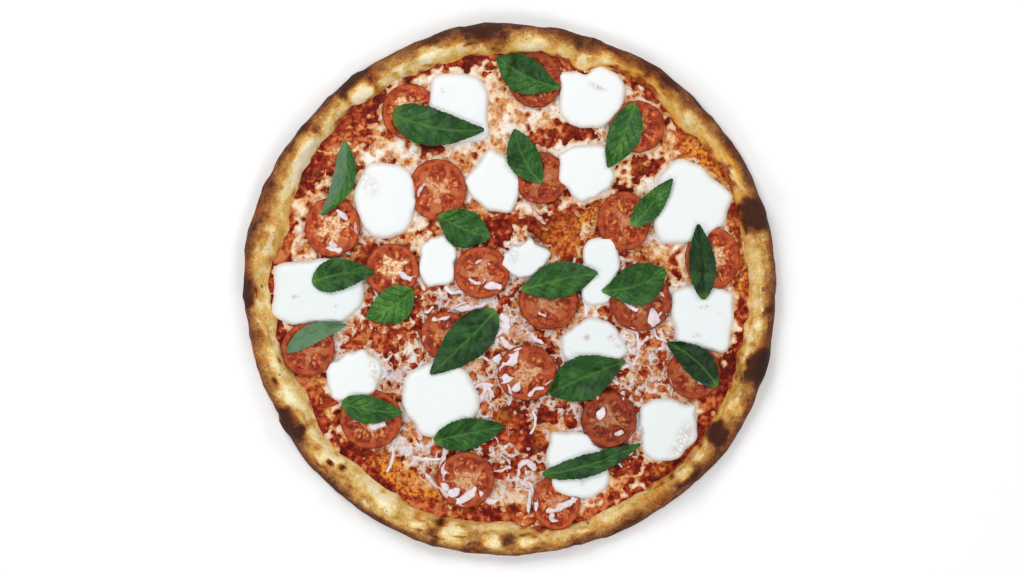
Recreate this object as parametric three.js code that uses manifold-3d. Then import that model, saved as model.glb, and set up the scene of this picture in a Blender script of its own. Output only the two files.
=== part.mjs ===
// An 18 inch margherita pizza, whole and uncut, as it comes out of a stone oven.
//
// It lies flat with +Z up. The origin is on the underside, below the middle of the
// pizza. Lengths are in millimetres and angles in degrees, counted from +X towards +Y.
// From below, its layers are the dough with its raised rim, the sauce, a lace of melted
// cheese, tomato slices and fresh mozzarella side by side, and basil leaves on top.

import Module from 'manifold-3d';
import * as THREE from 'three';
import { mergeVertices } from 'three/addons/utils/BufferGeometryUtils.js';

const wasm = await Module();
wasm.setup();

// ------------------------------------------------------------------ driving dimensions

const PIZZA_RADIUS = 228; // middle of the pizza to the outside of the rim
const RIM_WIDTH = 24.5; // outside of the rim to its foot, where the toppings start
const RIM_HEIGHT = 19;
const BASE_THICKNESS = 4.5; // dough under the toppings
const SAUCE_DEPTH = 1.6;
const CHEESE_DEPTH = 1.4;
const TOMATO_THICKNESS = 4.4;
const MOZZARELLA_HEIGHT = 5.6; // of a piece of average size
const LEAF_THICKNESS = 0.7;
const GAP = 0.4; // left between pieces that touch

const SAUCE_FLOOR = BASE_THICKNESS + GAP;
const SAUCE_TOP = SAUCE_FLOOR + SAUCE_DEPTH;
const CHEESE_FLOOR = SAUCE_TOP + GAP;
const CHEESE_TOP = CHEESE_FLOOR + CHEESE_DEPTH;
const TOPPING_FLOOR = CHEESE_TOP + GAP;

// How finely the faceted solids are divided.
const RIM_SEGMENTS = 120;
const TOMATO_SEGMENTS = 20;
const MOZZARELLA_SEGMENTS = 24;
const LACE_SEGMENTS = 60;
const POOL_SEGMENTS = 8;
const LEAF_STEPS = { along: 8, across: 4 };
const WELD = 1e-4; // corners nearer than this are one corner

// ------------------------------------------------------------------ the rim's unevenness

// Swellings round the rim: at is the middle, spread the half width, reach the size.
const RIM_BULGES = [
  { at: 97, spread: 10, reach: 2.4 },
  { at: 168, spread: 20, reach: 2.6 },
  { at: 250, spread: 14, reach: 2.6 },
  { at: 330, spread: 18, reach: 2.6 },
];

// Where the toppings run further out, and where a tongue of dough reaches in.
const TOPPING_RUNS = [
  { at: 28, spread: 9, reach: 4 },
  { at: 58, spread: 9, reach: 5 },
  { at: 73, spread: 3, reach: -7 },
  { at: 133, spread: 5, reach: 4 },
  { at: 148, spread: 8, reach: 2 },
  { at: 164, spread: 6, reach: -5 },
  { at: 177, spread: 7, reach: 4 },
  { at: 205, spread: 6, reach: -6 },
  { at: 234, spread: 8, reach: -4 },
  { at: 263, spread: 8, reach: -6 },
  { at: 284, spread: 8, reach: 4 },
  { at: 312, spread: 9, reach: 5 },
];

// Blisters that stand up on the rim, and folds that pinch it down.
const RIM_BLISTERS = [
  { at: 17, spread: 5, reach: 3 },
  { at: 44, spread: 6, reach: 1.5 },
  { at: 60, spread: 6, reach: -2 },
  { at: 74, spread: 3, reach: -2.5 },
  { at: 95, spread: 6, reach: 3 },
  { at: 112, spread: 5, reach: 1.5 },
  { at: 131, spread: 3, reach: -3 },
  { at: 146, spread: 6, reach: 2 },
  { at: 190, spread: 7, reach: -1.5 },
  { at: 210, spread: 5, reach: 2.5 },
  { at: 226, spread: 3, reach: -3 },
  { at: 254, spread: 4, reach: 2 },
  { at: 270, spread: 5, reach: 2.5 },
  { at: 292, spread: 6, reach: -1.5 },
  { at: 313, spread: 5, reach: 2.5 },
  { at: 341, spread: 6, reach: 3 },
];
const RIM_RIPPLE = { outside: 0.5, height: 0.9 };

// The rim's section, from its sole round the outside and over the crest. across is the
// share of the rim's width in from the outside, and up the share of its height.
const RIM_SECTION = [
  { across: 0.34, up: 0 },
  { across: 0.12, up: 0.08 },
  { across: 0, up: 0.36 },
  { across: 0.06, up: 0.68 },
  { across: 0.22, up: 0.92 },
  { across: 0.42, up: 1 },
  { across: 0.64, up: 0.91 },
  { across: 0.85, up: 0.62 },
];

// ------------------------------------------------------------------ toppings, as placed

// Tomato slices: middle, width along X, length along Y, and how the chambers are turned.
const TOMATOES = [
  { x: 21, y: 180, width: 46, length: 48, turn: 10 },
  { x: -87, y: 153, width: 48, length: 48, turn: 34 },
  { x: -63, y: 86, width: 50, length: 53, turn: 62 },
  { x: -153, y: 54, width: 48, length: 51, turn: 0 },
  { x: 108, y: 140, width: 48, length: 45, turn: 25 },
  { x: 26, y: 96, width: 45, length: 45, turn: 50 },
  { x: 97, y: 59, width: 46, length: 51, turn: 5 },
  { x: 173, y: 27, width: 48, length: 53, turn: 40 },
  { x: -102, y: 17, width: 46, length: 46, turn: 15 },
  { x: -25, y: 15, width: 48, length: 45, turn: 70 },
  { x: 32, y: -10, width: 51, length: 48, turn: 30 },
  { x: 111, y: -10, width: 53, length: 51, turn: 55 },
  { x: -174, y: -51, width: 46, length: 46, turn: 20 },
  { x: -56, y: -39, width: 43, length: 41, turn: 45 },
  { x: 14, y: -71, width: 51, length: 48, turn: 12 },
  { x: 84, y: -111, width: 48, length: 48, turn: 66 },
  { x: 157, y: -71, width: 46, length: 45, turn: 38 },
  { x: -120, y: -111, width: 53, length: 51, turn: 8 },
  { x: -39, y: -163, width: 50, length: 48, turn: 28 },
  { x: 39, y: -182, width: 41, length: 48, turn: 52 },
];
const TOMATO_CHAMBERS = 5;
const CHAMBER_DEPTH = 1;

// Fresh mozzarella: middle, width along X and length along Y. square is 2 for an oval and
// more for squarer corners. lobes push the outline out, or in where reach is negative.
const MOZZARELLA = [
  { x: -46, y: 157, width: 51, length: 55, square: 2.6, lobes: [{ at: 300, spread: 25, reach: 2 }] },
  { x: 69, y: 165, width: 56, length: 50, square: 2.5, lobes: [{ at: 105, spread: 16, reach: -6 }] },
  { x: -107, y: 78, width: 52, length: 62, square: 2.5, lobes: [{ at: 320, spread: 22, reach: -3 }] },
  { x: -15, y: 92, width: 44, length: 46, square: 2.2, lobes: [{ at: 135, spread: 20, reach: -3 }] },
  { x: 63, y: 102, width: 46, length: 46, square: 3, lobes: [{ at: 225, spread: 16, reach: -5 }] },
  {
    x: 153,
    y: 74,
    width: 65,
    length: 68,
    square: 2.3,
    lobes: [{ at: 50, spread: 18, reach: -5 }, { at: 310, spread: 16, reach: -6 }],
  },
  { x: -63, y: 25, width: 31, length: 38, square: 2.6, lobes: [] },
  { x: 11, y: 26, width: 36, length: 29, square: 2.4, lobes: [] },
  { x: -165, y: -2, width: 77, length: 56, square: 2.8, lobes: [{ at: 330, spread: 20, reach: -4 }] },
  { x: 76, y: 16, width: 33, length: 55, square: 2.4, lobes: [{ at: 330, spread: 25, reach: -3 }] },
  { x: 70, y: -47, width: 53, length: 41, square: 2.3, lobes: [{ at: 20, spread: 20, reach: -2 }] },
  { x: 164, y: -24, width: 55, length: 56, square: 2.4, lobes: [{ at: 200, spread: 20, reach: -3 }] },
  { x: -62, y: -94, width: 62, length: 65, square: 2.3, lobes: [{ at: 225, spread: 18, reach: -3 }] },
  { x: -134, y: -74, width: 46, length: 41, square: 2.4, lobes: [{ at: 230, spread: 16, reach: 3 }] },
  { x: 135, y: -120, width: 51, length: 51, square: 2.8, lobes: [{ at: 315, spread: 20, reach: -4 }] },
  { x: 57, y: -150, width: 51, length: 58, square: 2.3, lobes: [{ at: 50, spread: 18, reach: -6 }] },
];

// Basil leaves: stem end, tip and greatest width. bow bends the midrib to its left, fold
// lifts the two halves as a share of their width, and curl lifts the tip.
const BASIL = [
  { stem: [42, 173], tip: [-12, 200], width: 32, bow: 4, fold: 0.12, curl: 2 },
  { stem: [-101, 151], tip: [-23, 137], width: 33, bow: -5.5, fold: 0.15, curl: 3 },
  { stem: [-143, 128], tip: [-162, 64], width: 19, bow: 9, fold: 0.3, curl: 1 },
  { stem: [26, 91], tip: [3, 138], width: 28, bow: 4, fold: 0.15, curl: 2 },
  { stem: [106, 160], tip: [83, 105], width: 28, bow: 2, fold: 0.12, curl: 1 },
  { stem: [104, 55], tip: [138, 95], width: 20, bow: -1, fold: 0.2, curl: 3 },
  { stem: [165, -8], tip: [160, 56], width: 23, bow: -1, fold: 0.3, curl: 2 },
  { stem: [-62, 64], tip: [-18, 45], width: 33, bow: -2, fold: 0.1, curl: 0 },
  { stem: [-170, 7], tip: [-117, 15], width: 28, bow: 3, fold: 0.15, curl: 2 },
  { stem: [-84, 0], tip: [-124, -24], width: 31, bow: 3, fold: 0.1, curl: 1 },
  { stem: [-192, -53], tip: [-141, -30], width: 17, bow: 5, fold: 0.25, curl: 3 },
  { stem: [-13, -18], tip: [-69, -72], width: 36, bow: 1, fold: 0.1, curl: 1 },
  { stem: [9, 0], tip: [74, 15], width: 31, bow: 1, fold: 0.12, curl: 2 },
  { stem: [78, -1], tip: [133, 16], width: 36, bow: -4, fold: 0.12, curl: 3 },
  { stem: [98, -61], tip: [33, -89], width: 38, bow: -1, fold: 0.12, curl: 1 },
  { stem: [177, -83], tip: [134, -45], width: 25, bow: -4.5, fold: 0.2, curl: 2 },
  { stem: [-145, -97], tip: [-93, -105], width: 24, bow: -2, fold: 0.15, curl: 1 },
  { stem: [-66, -129], tip: [-5, -117], width: 27, bow: 0, fold: 0.15, curl: 2 },
  { stem: [27, -158], tip: [111, -132], width: 19, bow: -4, fold: 0.3, curl: 3 },
];
const LEAF_WIDEST = 0.44; // share of the length where a leaf is widest
const LEAF_END_WIDTH = 1.4; // at the stem and at the tip, which are cut blunt
const LEAF_SLOPE = 0.35; // steepest that a leaf follows what it lies on
const LEAF_SPAN = 8; // a leaf bridges hollows narrower than this
const LEAF_REACH = 20; // how far from a point its support is looked for

// Pools where the cheese has parted and the sauce shows: middle, half sizes and turn.
const SAUCE_POOLS = [
  { x: -133, y: 145, width: 36, length: 26, turn: 40 },
  { x: -171, y: 104, width: 46, length: 24, turn: 58 },
  { x: -163, y: -104, width: 38, length: 22, turn: 115 },
  { x: -141, y: -137, width: 22, length: 18, turn: -45 },
  { x: -116, y: -156, width: 30, length: 20, turn: -36 },
  { x: -74, y: -185, width: 54, length: 17, turn: -22 },
  { x: -12, y: -191, width: 28, length: 16, turn: -4 },
  { x: 14, y: -134, width: 32, length: 30, turn: 20 },
  { x: -5, y: -108, width: 20, length: 12, turn: 0 },
  { x: 45, y: 48, width: 44, length: 38, turn: 15 },
  { x: 42, y: 136, width: 48, length: 16, turn: 5 },
  { x: 117, y: 103, width: 32, length: 16, turn: 20 },
  { x: 169, y: 108, width: 28, length: 28, turn: 0 },
  { x: 191, y: 67, width: 22, length: 14, turn: 110 },
  { x: 196, y: -14, width: 32, length: 14, turn: 94 },
  { x: 189, y: -55, width: 26, length: 17, turn: 72 },
  { x: 179, y: -91, width: 24, length: 17, turn: 62 },
  { x: 164, y: -121, width: 28, length: 15, turn: 54 },
  { x: 140, y: -149, width: 22, length: 17, turn: 42 },
  { x: 107, y: -159, width: 30, length: 22, turn: 34 },
  { x: -12, y: 53, width: 24, length: 28, turn: 0 },
  { x: -108, y: -42, width: 56, length: 20, turn: 8 },
  { x: -131, y: 31, width: 18, length: 18, turn: 0 },
  { x: -101, y: -77, width: 20, length: 18, turn: 30 },
  { x: -79, y: -141, width: 24, length: 20, turn: -20 },
  { x: -52, y: 195, width: 40, length: 14, turn: 14 },
];
const LACE_INSET = 2; // from the foot of the rim to the edge of the melted cheese
const LACE_WAVE = 2.2;
const POOL_WAVE = 0.16; // how uneven a pool's edge is, as a share of its size
const LUMPS = { sauce: 0.6, cheese: 0.5 }; // how far the tops of the layers dip

// ------------------------------------------------------------------ waves and swellings

const radians = THREE.MathUtils.degToRad;
const degrees = THREE.MathUtils.radToDeg;

/** Degrees from one direction to another, between -180 and 180. */
function turnBetween(from, to) {
  return THREE.MathUtils.euclideanModulo(to - from + 180, 360) - 180;
}

/** What a list of swellings adds up to in one direction. */
function swell(angle, swellings) {
  const each = swellings.map(({ at, spread, reach }) => {
    return reach * Math.exp(-((turnBetween(at, angle) / spread) ** 2));
  });
  return each.reduce((sum, value) => sum + value, 0);
}

/** Unevenness round a ring, between -1 and 1: waves that never fall into step. */
function ripple(angle, phase) {
  const a = radians(angle);
  const waves = [Math.sin(5 * a + phase), Math.sin(11 * a + 2.3 * phase), Math.sin(17 * a + 4.1 * phase)];
  return waves.reduce((sum, value) => sum + value, 0) / waves.length;
}

/** Unevenness over the surface, between 0 and 1, with lumps some 30 mm apart. */
function lump(x, y) {
  return (2 + Math.sin(x / 5.3 + Math.sin(y / 9.1)) + Math.sin(y / 4.7 + Math.sin(x / 8.3))) / 4;
}

// ------------------------------------------------------------------ ways to make a solid

/** A closed solid round an upright axis, whose section may change with the angle. */
function turnedSolid(sectionAt, segments) {
  const outline = sectionAt(0).map(({ r, z }) => new THREE.Vector2(r, z));
  const geometry = new THREE.LatheGeometry(outline, segments);
  const position = geometry.attributes.position;
  for (let i = 0; i <= segments; i += 1) {
    const angle = (360 * (i % segments)) / segments;
    sectionAt(angle).forEach(({ r, z }, j) => {
      const x = r * Math.cos(radians(angle));
      const y = r * Math.sin(radians(angle));
      position.setXYZ(i * outline.length + j, x, y, z);
    });
  }
  return welded(geometry);
}

/** A thin closed solid below a grid of points, both faces split along like diagonals. */
function sheetSolid(pointAt, thickness, { along, across }) {
  const columns = across + 1;
  const layer = (along + 1) * columns;
  const positions = [];
  for (const drop of [0, thickness]) {
    for (let i = 0; i <= along; i += 1) {
      for (let j = 0; j <= across; j += 1) {
        const { x, y, z } = pointAt(i / along, (2 * j) / across - 1);
        positions.push(x, y, z - drop);
      }
    }
  }
  const index = [];
  for (let i = 0; i < along; i += 1) {
    for (let j = 0; j < across; j += 1) {
      const a = i * columns + j;
      const [b, c, d] = [a + columns, a + columns + 1, a + 1];
      index.push(a, b, c, a, c, d);
      index.push(...[a, c, b, a, d, c].map((corner) => corner + layer));
    }
  }
  const edge = [];
  for (let i = 0; i < along; i += 1) edge.push(i * columns);
  for (let j = 0; j < across; j += 1) edge.push(along * columns + j);
  for (let i = along; i > 0; i -= 1) edge.push(i * columns + across);
  for (let j = across; j > 0; j -= 1) edge.push(j);
  edge.forEach((corner, i) => {
    const next = edge[(i + 1) % edge.length];
    index.push(corner + layer, next + layer, next, corner + layer, next, corner);
  });
  const geometry = new THREE.BufferGeometry();
  geometry.setAttribute('position', new THREE.Float32BufferAttribute(positions, 3));
  geometry.setIndex(index);
  return geometry;
}

/** The same surface with shared corners merged and empty triangles dropped. */
function welded(geometry) {
  geometry.deleteAttribute('normal');
  geometry.deleteAttribute('uv');
  const merged = mergeVertices(geometry, WELD);
  const corners = merged.index.array;
  const kept = [];
  for (let i = 0; i < corners.length; i += 3) {
    const [a, b, c] = corners.slice(i, i + 3);
    if (a !== b && b !== c && c !== a) kept.push(a, b, c);
  }
  merged.setIndex(kept);
  return merged;
}

/** A welded geometry as a solid that can be cut. */
function toSolid(geometry) {
  const vertProperties = new Float32Array(geometry.attributes.position.array);
  const triVerts = new Uint32Array(geometry.index.array);
  return new wasm.Manifold(new wasm.Mesh({ numProp: 3, vertProperties, triVerts }));
}

/** A geometry without what lies inside any of the cutters. */
function cutBy(geometry, cutters) {
  const cut = cutters.reduce((solid, cutter) => solid.subtract(toSolid(cutter)), toSolid(geometry));
  const { vertProperties, triVerts } = cut.getMesh();
  const result = new THREE.BufferGeometry();
  result.setAttribute('position', new THREE.BufferAttribute(vertProperties, 3));
  result.setIndex(new THREE.BufferAttribute(triVerts, 1));
  return result;
}

/** How high the upper side of a section is at a distance from its axis. */
function topOfSection(section, distance) {
  for (let i = section.length - 1; i > 0; i -= 1) {
    const inner = section[i];
    const outer = section[i - 1];
    if (distance >= inner.r && distance <= outer.r) {
      return THREE.MathUtils.mapLinear(distance, inner.r, outer.r, inner.z, outer.z);
    }
  }
  return -Infinity;
}

// ------------------------------------------------------------------ dough and sauce

function outerRadius(angle) {
  return PIZZA_RADIUS + swell(angle, RIM_BULGES) + RIM_RIPPLE.outside * ripple(angle, 1);
}

function footRadius(angle) {
  return PIZZA_RADIUS - RIM_WIDTH + swell(angle, TOPPING_RUNS);
}

function crustSection(angle) {
  const outside = outerRadius(angle);
  const foot = footRadius(angle);
  const height = RIM_HEIGHT + swell(angle, RIM_BLISTERS) + RIM_RIPPLE.height * ripple(angle, 2);
  const rim = RIM_SECTION.map(({ across, up }) => {
    return { r: outside - across * (outside - foot), z: up * height };
  });
  const base = [foot, foot / 2, 0].map((r) => ({ r, z: BASE_THICKNESS }));
  return [{ r: 0, z: 0 }, ...rim, ...base];
}

function sauceSection(angle) {
  const edge = footRadius(angle) - GAP;
  const dip = (r) => LUMPS.sauce * lump(r * Math.cos(radians(angle)), r * Math.sin(radians(angle)));
  return [
    { r: 0, z: SAUCE_FLOOR },
    { r: edge, z: SAUCE_FLOOR },
    { r: edge - SAUCE_DEPTH, z: SAUCE_TOP - dip(edge) },
    { r: edge * 0.6, z: SAUCE_TOP - dip(edge * 0.6) },
    { r: 0, z: SAUCE_TOP },
  ];
}

// ------------------------------------------------------------------ melted cheese

/** The corners of a closed outline, from its distance to the middle in each direction. */
function outline(segments, radiusAt) {
  const corners = [];
  for (let i = 0; i < segments; i += 1) {
    const angle = (360 * i) / segments;
    corners.push(new THREE.Vector2(radiusAt(angle), 0).rotateAround(new THREE.Vector2(), radians(angle)));
  }
  return corners;
}

/** A flat solid of an outline, between two heights. */
function flatSolid(corners, floor, top) {
  const shape = new THREE.Shape(corners);
  const geometry = new THREE.ExtrudeGeometry(shape, { depth: top - floor, bevelEnabled: false });
  return welded(geometry.translate(0, 0, floor));
}

/** The plug that parts the melted cheese over one pool: a turned and uneven oval. */
function poolPlug(pool, index) {
  const corners = outline(POOL_SEGMENTS, (angle) => {
    return ovalRadius(angle, { ...pool, square: 2 }) * (1 + POOL_WAVE * ripple(angle, index + 1));
  });
  const plug = flatSolid(corners, CHEESE_FLOOR - GAP, CHEESE_TOP + GAP);
  return plug.rotateZ(radians(pool.turn)).translate(pool.x, pool.y, 0);
}

/** One sheet of melted cheese, parted over the pools of sauce. */
function meltedCheese() {
  const edge = outline(LACE_SEGMENTS, (angle) => {
    return footRadius(angle) - LACE_INSET - LACE_WAVE * (1 + ripple(angle, 3));
  });
  const geometry = cutBy(flatSolid(edge, CHEESE_FLOOR, CHEESE_TOP), SAUCE_POOLS.map(poolPlug));
  const position = geometry.attributes.position;
  for (let i = 0; i < position.count; i += 1) {
    const onTop = position.getZ(i) > CHEESE_FLOOR + CHEESE_DEPTH / 2;
    const dip = onTop ? LUMPS.cheese * lump(position.getX(i), position.getY(i)) : 0;
    position.setZ(i, position.getZ(i) - dip);
  }
  return geometry;
}

// ------------------------------------------------------------------ tomato and mozzarella

/** The distance from the middle of an oval, or a squarer oval, to its edge. */
function ovalRadius(angle, { width, length, square }) {
  const across = Math.abs(Math.cos(radians(angle)) / (width / 2)) ** square;
  const up = Math.abs(Math.sin(radians(angle)) / (length / 2)) ** square;
  return (across + up) ** (-1 / square);
}

function tomatoSection(slice, angle) {
  const radius = ovalRadius(angle, { ...slice, square: 2 });
  const wall = Math.cos(radians((TOMATO_CHAMBERS * (angle - slice.turn)) / 2)) ** 2;
  return [
    { r: 0, z: 0 },
    { r: radius - 0.8, z: 0 },
    { r: radius, z: TOMATO_THICKNESS - 1.3 },
    { r: radius - 3.5, z: TOMATO_THICKNESS },
    { r: radius * 0.55, z: TOMATO_THICKNESS - CHAMBER_DEPTH * (1 - wall) },
    { r: 0, z: TOMATO_THICKNESS },
  ];
}

/** A slab of mozzarella that has slumped into a low dome, lower where it is small. */
function mozzarellaSection(slab, angle) {
  const radius = ovalRadius(angle, slab) + swell(angle, slab.lobes);
  const height = MOZZARELLA_HEIGHT * Math.sqrt(Math.min(slab.width, slab.length) / 50);
  return [
    { r: 0, z: 0 },
    { r: radius, z: 0 },
    { r: radius * 0.9, z: height * 0.68 },
    { r: radius * 0.52, z: height * 0.96 },
    { r: 0, z: height },
  ];
}

/** An upright plug as wide as a slab of mozzarella and its gap, to cut its neighbours. */
function plugSection(slab, angle) {
  const radius = ovalRadius(angle, slab) + swell(angle, slab.lobes) + GAP;
  const top = 2 * MOZZARELLA_HEIGHT;
  return [
    { r: 0, z: -GAP },
    { r: radius, z: -GAP },
    { r: radius, z: top },
    { r: 0, z: top },
  ];
}

/** A section as a solid that stands where the topping lies. */
function placedSolid(topping, sectionOf, segments) {
  const geometry = turnedSolid((angle) => sectionOf(topping, angle), segments);
  return geometry.translate(topping.x, topping.y, TOPPING_FLOOR);
}

/** The height of a topping's upper side above a place, or -Infinity beside it. */
function toppingHeight(topping, sectionOf, x, y) {
  const [dx, dy] = [x - topping.x, y - topping.y];
  const angle = degrees(Math.atan2(dy, dx));
  return TOPPING_FLOOR + topOfSection(sectionOf(topping, angle), Math.hypot(dx, dy));
}

// ------------------------------------------------------------------ basil

/** The height of whatever a leaf would touch at a place. */
function supportHeight(x, y) {
  const rim = topOfSection(crustSection(degrees(Math.atan2(y, x))), Math.hypot(x, y));
  const slices = TOMATOES.map((slice) => toppingHeight(slice, tomatoSection, x, y));
  const slabs = MOZZARELLA.map((slab) => toppingHeight(slab, mozzarellaSection, x, y));
  return Math.max(CHEESE_TOP, rim, ...slices, ...slabs);
}

/** How high a leaf lies at a place: it bends over its support, but only gently. */
function drapedHeight(x, y) {
  const step = LEAF_SPAN / 2;
  let height = 0;
  for (let dx = -LEAF_REACH; dx <= LEAF_REACH; dx += step) {
    for (let dy = -LEAF_REACH; dy <= LEAF_REACH; dy += step) {
      const fall = LEAF_SLOPE * Math.max(0, Math.hypot(dx, dy) - LEAF_SPAN);
      height = Math.max(height, supportHeight(x + dx, y + dy) - fall);
    }
  }
  return height;
}

/** Half the width of a leaf at a share of its length: round at the stem, then pointed. */
function leafHalfWidth(share, width) {
  const power = Math.log(0.5) / Math.log(LEAF_WIDEST);
  const fullness = Math.sin(Math.PI * share ** power) ** 0.85;
  return (LEAF_END_WIDTH + (width - LEAF_END_WIDTH) * fullness) / 2;
}

function basilLeaf({ stem, tip, width, bow, fold, curl }) {
  const start = new THREE.Vector2(...stem);
  const axis = new THREE.Vector2(...tip).sub(start);
  const left = new THREE.Vector2(-axis.y, axis.x).normalize();
  const pointAt = (share, side) => {
    const half = leafHalfWidth(share, width);
    const offset = bow * 4 * share * (1 - share) + side * half;
    const place = start.clone().addScaledVector(axis, share).addScaledVector(left, offset);
    const lift = fold * Math.abs(side) * half + curl * share ** 4;
    const z = drapedHeight(place.x, place.y) + GAP + LEAF_THICKNESS + lift;
    return new THREE.Vector3(place.x, place.y, z);
  };
  return sheetSolid(pointAt, LEAF_THICKNESS, LEAF_STEPS);
}

// ------------------------------------------------------------------ the pizza

const MATERIALS = {
  dough: new THREE.MeshStandardMaterial({ color: 0xd9a866, roughness: 0.8, metalness: 0 }),
  sauce: new THREE.MeshStandardMaterial({ color: 0xa8321c, roughness: 0.35, metalness: 0 }),
  cheese: new THREE.MeshStandardMaterial({ color: 0xe8d3bd, roughness: 0.4, metalness: 0 }),
  tomato: new THREE.MeshStandardMaterial({ color: 0xb83a20, roughness: 0.3, metalness: 0 }),
  mozzarella: new THREE.MeshStandardMaterial({ color: 0xf7f6f2, roughness: 0.45, metalness: 0 }),
  basil: new THREE.MeshStandardMaterial({ color: 0x2b6a2c, roughness: 0.5, metalness: 0 }),
};

const pizza = new THREE.Group();

function addPiece(name, geometry, material) {
  geometry.computeVertexNormals();
  const mesh = new THREE.Mesh(geometry, material);
  mesh.name = name;
  pizza.add(mesh);
}

/** A numbered name, such as tomato_07. */
function numbered(name, index) {
  return `${name}_${String(index + 1).padStart(2, '0')}`;
}

const crust = turnedSolid(crustSection, RIM_SEGMENTS);
const rimClearance = crust.clone().translate(0, 0, 2 * GAP);
const plugs = MOZZARELLA.map((slab) => placedSolid(slab, plugSection, MOZZARELLA_SEGMENTS));

addPiece('crust', crust, MATERIALS.dough);
addPiece('sauce', turnedSolid(sauceSection, RIM_SEGMENTS), MATERIALS.sauce);
addPiece('melted_cheese', meltedCheese(), MATERIALS.cheese);

TOMATOES.forEach((slice, index) => {
  const whole = placedSolid(slice, tomatoSection, TOMATO_SEGMENTS);
  addPiece(numbered('tomato', index), cutBy(whole, [rimClearance, ...plugs]), MATERIALS.tomato);
});

MOZZARELLA.forEach((slab, index) => {
  const whole = placedSolid(slab, mozzarellaSection, MOZZARELLA_SEGMENTS);
  addPiece(numbered('mozzarella', index), cutBy(whole, [rimClearance]), MATERIALS.mozzarella);
});

BASIL.forEach((leaf, index) => {
  addPiece(numbered('basil', index), basilLeaf(leaf), MATERIALS.basil);
});

export default pizza;
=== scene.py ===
# %% [markdown]
# # A margherita pizza
# The solids give every piece its size and place. This file dresses them: each piece is made again
# as a finer mesh on the same sizes, and gets a finish of its own. Food has hardly a straight line
# in it, so the way is the same each time. A primitive is added, its points are moved onto the
# section or outline that the piece has, and soft noise makes it as uneven as food is.

# %% Load the frame
import itertools
import math

import bpy
import numpy as np
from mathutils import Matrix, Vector


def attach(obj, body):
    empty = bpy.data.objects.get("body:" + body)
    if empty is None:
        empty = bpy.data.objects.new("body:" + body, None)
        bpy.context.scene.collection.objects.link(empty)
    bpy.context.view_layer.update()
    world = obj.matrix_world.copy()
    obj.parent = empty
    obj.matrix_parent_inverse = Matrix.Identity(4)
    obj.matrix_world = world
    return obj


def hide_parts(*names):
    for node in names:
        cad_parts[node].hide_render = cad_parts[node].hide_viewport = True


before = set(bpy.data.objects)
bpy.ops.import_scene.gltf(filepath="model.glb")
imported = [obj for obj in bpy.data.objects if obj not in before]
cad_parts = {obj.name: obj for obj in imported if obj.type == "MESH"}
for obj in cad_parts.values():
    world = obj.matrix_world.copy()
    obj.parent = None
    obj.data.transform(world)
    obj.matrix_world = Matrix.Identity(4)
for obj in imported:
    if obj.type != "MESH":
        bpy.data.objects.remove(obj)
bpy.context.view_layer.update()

# %% [markdown]
# ## Camera, floor and light
# The pizza is seen straight from above, from two metres, with a long lens. The light comes from
# large soft panels at the sides. Straight above there is little light, so that wet sauce and
# tomato mirror a dark ceiling and keep their deep reds.

# %% Camera
MM = 0.001  # sizes below are in millimetres, and Blender works in metres
CAMERA_PLACE = (0.0009, 0.0017, 2.012)  # metres, just off the middle and two metres up
LENS = 82
bpy.ops.object.select_all(action="DESELECT")
bpy.ops.object.camera_add(location=CAMERA_PLACE, rotation=(0, 0, 0))
camera = bpy.context.active_object
camera.name = "camera"
camera.data.sensor_width = 36
camera.data.lens = LENS
bpy.context.scene.camera = camera
bpy.context.scene.view_settings.view_transform = "Standard"
print("camera:", CAMERA_PLACE, "lens:", LENS)

# %% Light panels
PANEL_DISTANCE = 1.7  # metres from the pizza
PANEL_SIZE = 0.8
ROOM_LIGHT = 0.24  # how bright the room is without the panels
# Direction in degrees from +X, height above the floor in degrees, strength in watts.
PANELS = {"key": (125, 52, 13.0), "left": (215, 42, 8.0), "right": (35, 42, 8.0), "front": (300, 46, 8.0)}


def add_panel(name, direction, height, watts):
    """A square soft light that faces the middle of the pizza."""
    turn, rise = math.radians(direction), math.radians(height)
    place = Vector((math.cos(turn) * math.cos(rise), math.sin(turn) * math.cos(rise), math.sin(rise)))
    facing = place.to_track_quat("Z", "Y").to_euler()
    bpy.ops.object.light_add(type="AREA", location=place * PANEL_DISTANCE, rotation=facing)
    panel = bpy.context.active_object
    panel.name = f"panel_{name}"
    panel.data.size = PANEL_SIZE
    panel.data.energy = watts


for panel_name, settings in PANELS.items():
    add_panel(panel_name, *settings)
world = bpy.data.worlds.new("room")
world.use_nodes = True
world.node_tree.nodes["Background"].inputs["Color"].default_value = (1, 1, 1, 1)
world.node_tree.nodes["Background"].inputs["Strength"].default_value = ROOM_LIGHT
bpy.context.scene.world = world
print("panels:", len(PANELS))

# %% [markdown]
# ## Finishes made from expressions
# A finish is a material whose colour is worked out by nodes. `Wire` wraps a socket, so that plain
# Python sums and products add the Math nodes. Every other node comes from `Finish.node`.


# %% Wire
class Wire:
    """A node's output that Python's operators work on."""

    def __init__(self, finish, socket):
        self.finish, self.socket = finish, socket

    def _math(self, operation, first, second):
        return self.finish.node("ShaderNodeMath", [first, second], operation=operation)

    def __add__(self, other):
        return self._math("ADD", self, other)

    def __radd__(self, other):
        return self._math("ADD", other, self)

    def __sub__(self, other):
        return self._math("SUBTRACT", self, other)

    def __rsub__(self, other):
        return self._math("SUBTRACT", other, self)

    def __mul__(self, other):
        return self._math("MULTIPLY", self, other)

    def __rmul__(self, other):
        return self._math("MULTIPLY", other, self)

    def __pow__(self, other):
        return self._math("POWER", self, other)


print("a wire adds, subtracts, multiplies and takes powers")


# %% Finish
def paint(red, green, blue):
    """A colour from its values as on a screen, 0 to 255."""
    channels = np.array([red, green, blue]) / 255
    linear = np.where(channels > 0.04045, ((channels + 0.055) / 1.055) ** 2.4, channels / 12.92)
    return (*linear.tolist(), 1.0)


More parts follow.
